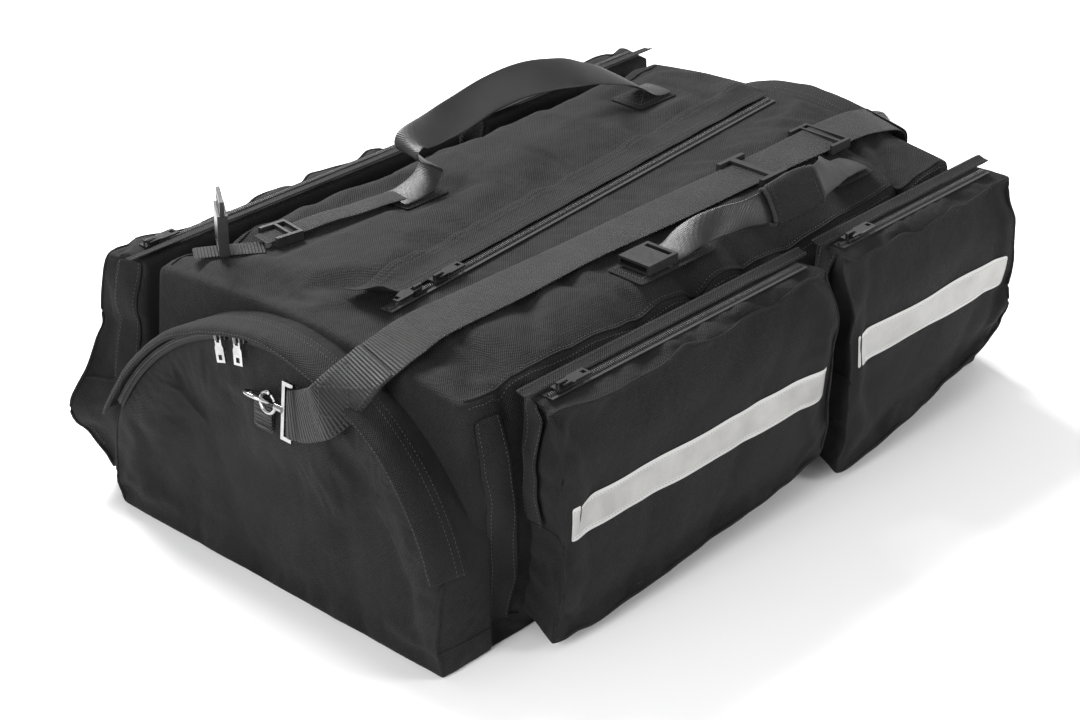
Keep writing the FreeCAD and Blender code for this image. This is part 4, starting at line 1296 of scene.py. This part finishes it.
def make_left_handle():
    """Satin webbing: a curl at the near foot, a twist on edge over the top, a fold at the far foot."""
    stations = [
        (Vector((-0.134, 0.117, 0.2722)), Vector((0, 1, 0)), 0.038),
        (Vector((-0.112, 0.117, 0.2724)), Vector((0, 1, 0)), 0.038),
        (Vector((-0.088, 0.117, 0.2790)), Vector((0.05, 1, 0.05)), 0.038),
        (Vector((-0.078, 0.118, 0.2920)), Vector((0.1, 1, 0.1)), 0.038),
        (Vector((-0.090, 0.120, 0.3035)), Vector((0.1, 1, 0.15)), 0.037),
        (Vector((-0.104, 0.123, 0.3110)), Vector((0.1, 1, 0.25)), 0.036),
        (Vector((-0.098, 0.127, 0.3210)), Vector((0.1, 0.95, 0.4)), 0.036),
        (Vector((-0.066, 0.130, 0.3225)), Vector((0.15, 0.8, 0.55)), 0.037),
        (Vector((-0.022, 0.134, 0.3260)), Vector((0.2, 0.62, 0.76)), 0.038),
        (Vector((0.030, 0.140, 0.3300)), Vector((0.1, 0.5, 0.86)), 0.038),
        (Vector((0.085, 0.143, 0.3290)), Vector((-0.05, 0.55, 0.82)), 0.038),
        (Vector((0.140, 0.140, 0.3210)), Vector((-0.2, 0.70, 0.68)), 0.038),
        (Vector((0.185, 0.133, 0.3090)), Vector((-0.15, 0.86, 0.42)), 0.038),
        (Vector((0.222, 0.124, 0.2930)), Vector((-0.05, 0.97, 0.2)), 0.038),
        (Vector((0.242, 0.118, 0.2770)), Vector((0, 1, 0)), 0.038),
        (Vector((0.258, 0.117, 0.2724)), Vector((0, 1, 0)), 0.038),
        (Vector((0.272, 0.117, 0.2722)), Vector((0, 1, 0)), 0.038),
    ]
    handle, _ = webbing("handle_left_web", stations, 0.0016, SATIN, gap=0.006, cup=0.0012,
                        body=None)
    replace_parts(handle, "handle_left")
    return handle


def make_right_handle():
    """Twisting satin webbing gathered through the padded grip wrap."""
    lean = Vector((0, 0.47, 0.88))
    stations = [
        (Vector((-0.052, -0.162, 0.2722)), Vector((0, 1, 0)), 0.034),
        (Vector((-0.030, -0.162, 0.2726)), Vector((0, 1, 0)), 0.036),
        (Vector((-0.008, -0.163, 0.2800)), Vector((0.05, 1, 0.2)), 0.036),
        (Vector((0.016, -0.172, 0.2870)), Vector((0.1, 0.75, 0.65)), 0.030),
        (Vector((0.042, -0.186, 0.2915)), Vector((0, 0.30, 0.95)), 0.028),
        (Vector((0.068, -0.195, 0.2945)), lean, 0.032),
        (Vector((0.104, -0.197, 0.2950)), lean, 0.036),
        (Vector((0.140, -0.196, 0.2948)), lean, 0.034),
        (Vector((0.166, -0.190, 0.2940)), Vector((0.1, 0.6, 0.8)), 0.034),
        (Vector((0.188, -0.180, 0.2905)), Vector((0.1, 0.8, 0.55)), 0.036),
        (Vector((0.210, -0.169, 0.2830)), Vector((0, 0.95, 0.25)), 0.037),
        (Vector((0.230, -0.163, 0.2745)), Vector((0, 1, 0)), 0.038),
        (Vector((0.252, -0.162, 0.2722)), Vector((0, 1, 0)), 0.038),
    ]
    handle, _ = webbing("handle_right_web", stations, 0.0016, SATIN, gap=0.006, cup=0.002,
                        body=None)
    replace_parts(handle, "handle_right")
    return handle


def make_grip_wrap():
    """A padded wrap closed round the webbing: a flattened sleeve with bound ends and a lapped edge."""
    low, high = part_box("grip_wrap")
    middle = (Vector(low) + Vector(high)) / 2
    lean = math.radians(62)
    wide = Vector((0, math.cos(lean), math.sin(lean)))
    thin = Vector((0, -math.sin(lean), math.cos(lean)))
    half = (high[0] - low[0]) / 2
    rows = []
    count = 20
    around = 40
    for index in range(count + 1):
        along = -half + 2 * half * index / count
        swell = 1 + 0.05 * math.cos(math.pi * along / half) - 0.05 * step(abs(along), half * 0.7, half)
        row = []
        for corner in range(around + 1):
            turn = -0.16 + (2 * math.pi + 0.30) * corner / around
            lap = 0.0022 * step(corner / around, 0.90, 0.97)
            x, y = math.cos(turn), math.sin(turn)
            bulge = 0.0012 * ripple(along, x * 0.03, y * 0.03, 60, 1.0)
            reach_wide = (0.0205 + bulge) * math.copysign(abs(x) ** 0.75, x) * swell
            reach_thin = (0.0062 + lap + bulge) * math.copysign(abs(y) ** 0.8, y) * swell
            row.append(middle + Vector((along, 0, 0)) + wide * reach_wide + thin * reach_thin)
        rows.append(row)
    wrap = cloth_strip("grip_wrap_cloth", rows, 0.0026, LIP_CLOTH, body="handle_right")
    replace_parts(wrap, "grip_wrap")
    edge = Gather()
    for row in (rows[0], rows[-1]):
        edge.tube(row, 0.0019, sides=8)
    edge.tube([row[-1] for row in rows], 0.0015, sides=8)
    edge.make("grip_wrap_binding", BINDING, body="handle_right")
    stitch = Gather()
    for place in (2, count - 2):
        line = [p + (p - middle - Vector((p.x - middle.x, 0, 0))).normalized() * 0.0016 for p in rows[place]]
        ups = [(p - middle - Vector((p.x - middle.x, 0, 0))).normalized() for p in rows[place]]
        stitch.stitches(line, ups)
    stitch.make("grip_wrap_stitching", THREAD, body="handle_right")


def make_patches(skin, thread):
    """The sewn cloth patches under the handles' feet, each with a boxed cross of stitches."""
    nodes_left = True
    for name, centre, half_x in (("left_near", (-0.106, 0.117), 0.030), ("left_far", (0.245, 0.117), 0.030),
                                 ("right_near", (-0.047, -0.162), 0.057),
                                 ("right_far", (0.229, -0.162), 0.030)):
        rows = []
        half_y = 0.023
        for index in range(13):
            x = centre[0] - half_x + 2 * half_x * index / 12
            row = []
            for place in range(9):
                y = centre[1] - half_y + 2 * half_y * place / 8
                ground, _ = skin.lay(Vector((x, y, BODY_TOP)), -UP)
                row.append(Vector((x, y, max(ground.z, BODY_TOP - 0.0012) + 0.0014)))
            rows.append(row)
        patch = cloth_strip("handle_patch_" + name, rows, 0.0024, LIP_CLOTH)
        if nodes_left:
            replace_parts(patch, "handle_patches")
            nodes_left = False
        inset = 0.006
        box = [(centre[0] - half_x + inset, centre[1] - half_y + inset),
               (centre[0] + half_x - inset, centre[1] - half_y + inset),
               (centre[0] + half_x - inset, centre[1] + half_y - inset),
               (centre[0] - half_x + inset, centre[1] + half_y - inset)]
        runs = [(box[0], box[1]), (box[1], box[2]), (box[2], box[3]), (box[3], box[0]),
                (box[0], box[2]), (box[1], box[3])]
        top = BODY_TOP + 0.0030
        for first, second in runs:
            line = straight_points(Vector((*first, top)), Vector((*second, top)), 0.01)
            thread.stitches(line, [UP] * len(line))


def make_compression_strap():
    low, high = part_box("compression_strap")
    middle = (Vector(low) + Vector(high)) / 2
    turn = math.radians(-8)
    way = Vector((math.cos(turn), math.sin(turn), 0))
    side = Vector((-way.y, way.x, 0))
    stations = []
    for along, lift in ((-0.075, 0.0), (-0.052, 0.0), (-0.030, 0.0), (0.000, 0.0016), (0.035, 0.0002),
                        (0.060, 0.0008), (0.092, 0.0002)):
        stations.append((middle + way * along + UP * lift, side, 0.025))
    strap, _ = webbing("compression_strap_web", stations, 0.0022, RIBBED)
    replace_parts(strap, "compression_strap")


def make_ring_tab(end, thread):
    """Folded webbing sewn to the face, its rolled top holding the D-ring's bar."""
    name = "near" if end < 0 else "far"
    ring_v, ring_w, roll = 0.202, 0.005, 0.0034
    hand = -end
    u = -0.005 * hand
    across = Vector((0, 1, 0))
    stations = []
    for v, w in ((0.168, 0.0010), (0.180, 0.0010), (0.192, 0.0012)):
        stations.append((end_point(end, u, v, w), across, 0.025))
    for degrees in (-90, -30, 30, 90, 150, 200):
        turn = math.radians(degrees)
        stations.append((end_point(end, u, ring_v + roll * math.cos(turn), ring_w + roll * math.sin(turn)),
                         across, 0.025))
    for v, w in ((0.190, 0.0038), (0.180, 0.0032), (0.171, 0.0031)):
        stations.append((end_point(end, u, v, w), across, 0.025))
    tab, _ = webbing("dring_tab_%s_web" % name, stations, 0.0014, RIBBED, gap=0.0025)
    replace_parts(tab, "dring_tab_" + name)
    out = end_out(end)
    for v in (0.173, 0.186):
        points = [end_point(end, u + x, v, 0.0042) for x in (-0.010, -0.005, 0.0, 0.005, 0.010)]
        thread.tube(points, 0.0009, sides=6, normals=[out] * 5)


def make_buckle_webs():
    """A short webbing loop that anchors a buckle to the bag."""
    way = Vector((math.cos(math.radians(-35)), math.sin(math.radians(-35)), 0))
    side = Vector((-way.y, way.x, 0))
    base = Vector((-0.318, 0.153, 0.2692))
    stations = [(base - way * 0.034, side, 0.025), (base - way * 0.016 + UP * 0.0004, side, 0.025),
                (base + UP * 0.0006, side, 0.025), (base + way * 0.016 + UP * 0.0004, side, 0.025),
                (base + way * 0.036, side, 0.025)]
    webbing("left_buckle_anchor", stations, 0.0018, RIBBED)


# ---------------------------------------------------------------- hardware

FINISHES = {
    "slider": ENAMEL, "main_pull": ENAMEL, "side_pull": ENAMEL, "end_pull": NICKEL, "dring": NICKEL,
    "snap_hook": NICKEL, "snap_gate": NICKEL, "tri_glide": PLASTIC, "ladder_lock": PLASTIC, "buckle": PLASTIC,
}


def finish_hardware():
    """Gives every CAD part that stays visible its own finish."""
    for piece in bpy.data.objects:
        if piece.type != "MESH" or piece.hide_render or piece.get("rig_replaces"):
            continue
        if piece.name not in CAD_NAMES:
            continue
        for key, material in FINISHES.items():
            if key in piece.name:
                for place in piece.material_slots:
                    place.material = material
                break


add_camera()
add_stage()
CAD_NAMES = [piece.name for piece in bpy.data.objects if piece.type == "MESH"]
SHELLS = make_shells()
BODY_SKIN = Skin([SHELLS["main"]])
THREADS = Gather()
GREY_THREADS = Gather()
PIPING = Gather()
make_zips()
make_main_flap(BODY_SKIN, THREADS)
for END in (-1, 1):
    END_NAME = "end_near" if END < 0 else "end_far"
    END_SKIN = Skin([SHELLS[END_NAME]])
    make_lip(END, THREADS)
    make_end_seams(SHELLS[END_NAME], END_SKIN, PIPING, THREADS)
    make_ring_tab(END, THREADS)
for POCKET, (SIDE, _) in POCKETS.items():
    POCKET_SKIN = Skin([SHELLS[POCKET]])
    make_pocket_flap(POCKET, SIDE, THREADS)
    make_pocket_seams(SHELLS[POCKET], POCKET_SKIN, PIPING, THREADS)
    make_band(POCKET, SIDE, POCKET_SKIN, GREY_THREADS)
    make_gusset(POCKET, SIDE, POCKET_SKIN, PIPING, THREADS)
make_body_seams(Skin([SHELLS["main"], SHELLS["end_near"]]), PIPING, THREADS)
make_side_binding(BODY_SKIN, THREADS)
make_shoulder_strap(THREADS)
LEFT_HANDLE = make_left_handle()
RIGHT_HANDLE = make_right_handle()
make_grip_wrap()
make_patches(BODY_SKIN, THREADS)
make_compression_strap()
make_buckle_webs()
THREADS.make("stitching", THREAD)
GREY_THREADS.make("band_stitching", GREY_THREAD)
PIPING.make("piping", CLOTH)
finish_hardware()
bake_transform(LEFT_HANDLE)
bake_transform(RIGHT_HANDLE)

floor_size = 6.0
floor = add_piece("floor", [(-floor_size, -floor_size, 0), (floor_size, -floor_size, 0),
                            (floor_size, floor_size, 0), (-floor_size, floor_size, 0)],
                  [(0, 1, 2, 3)], floor_material())
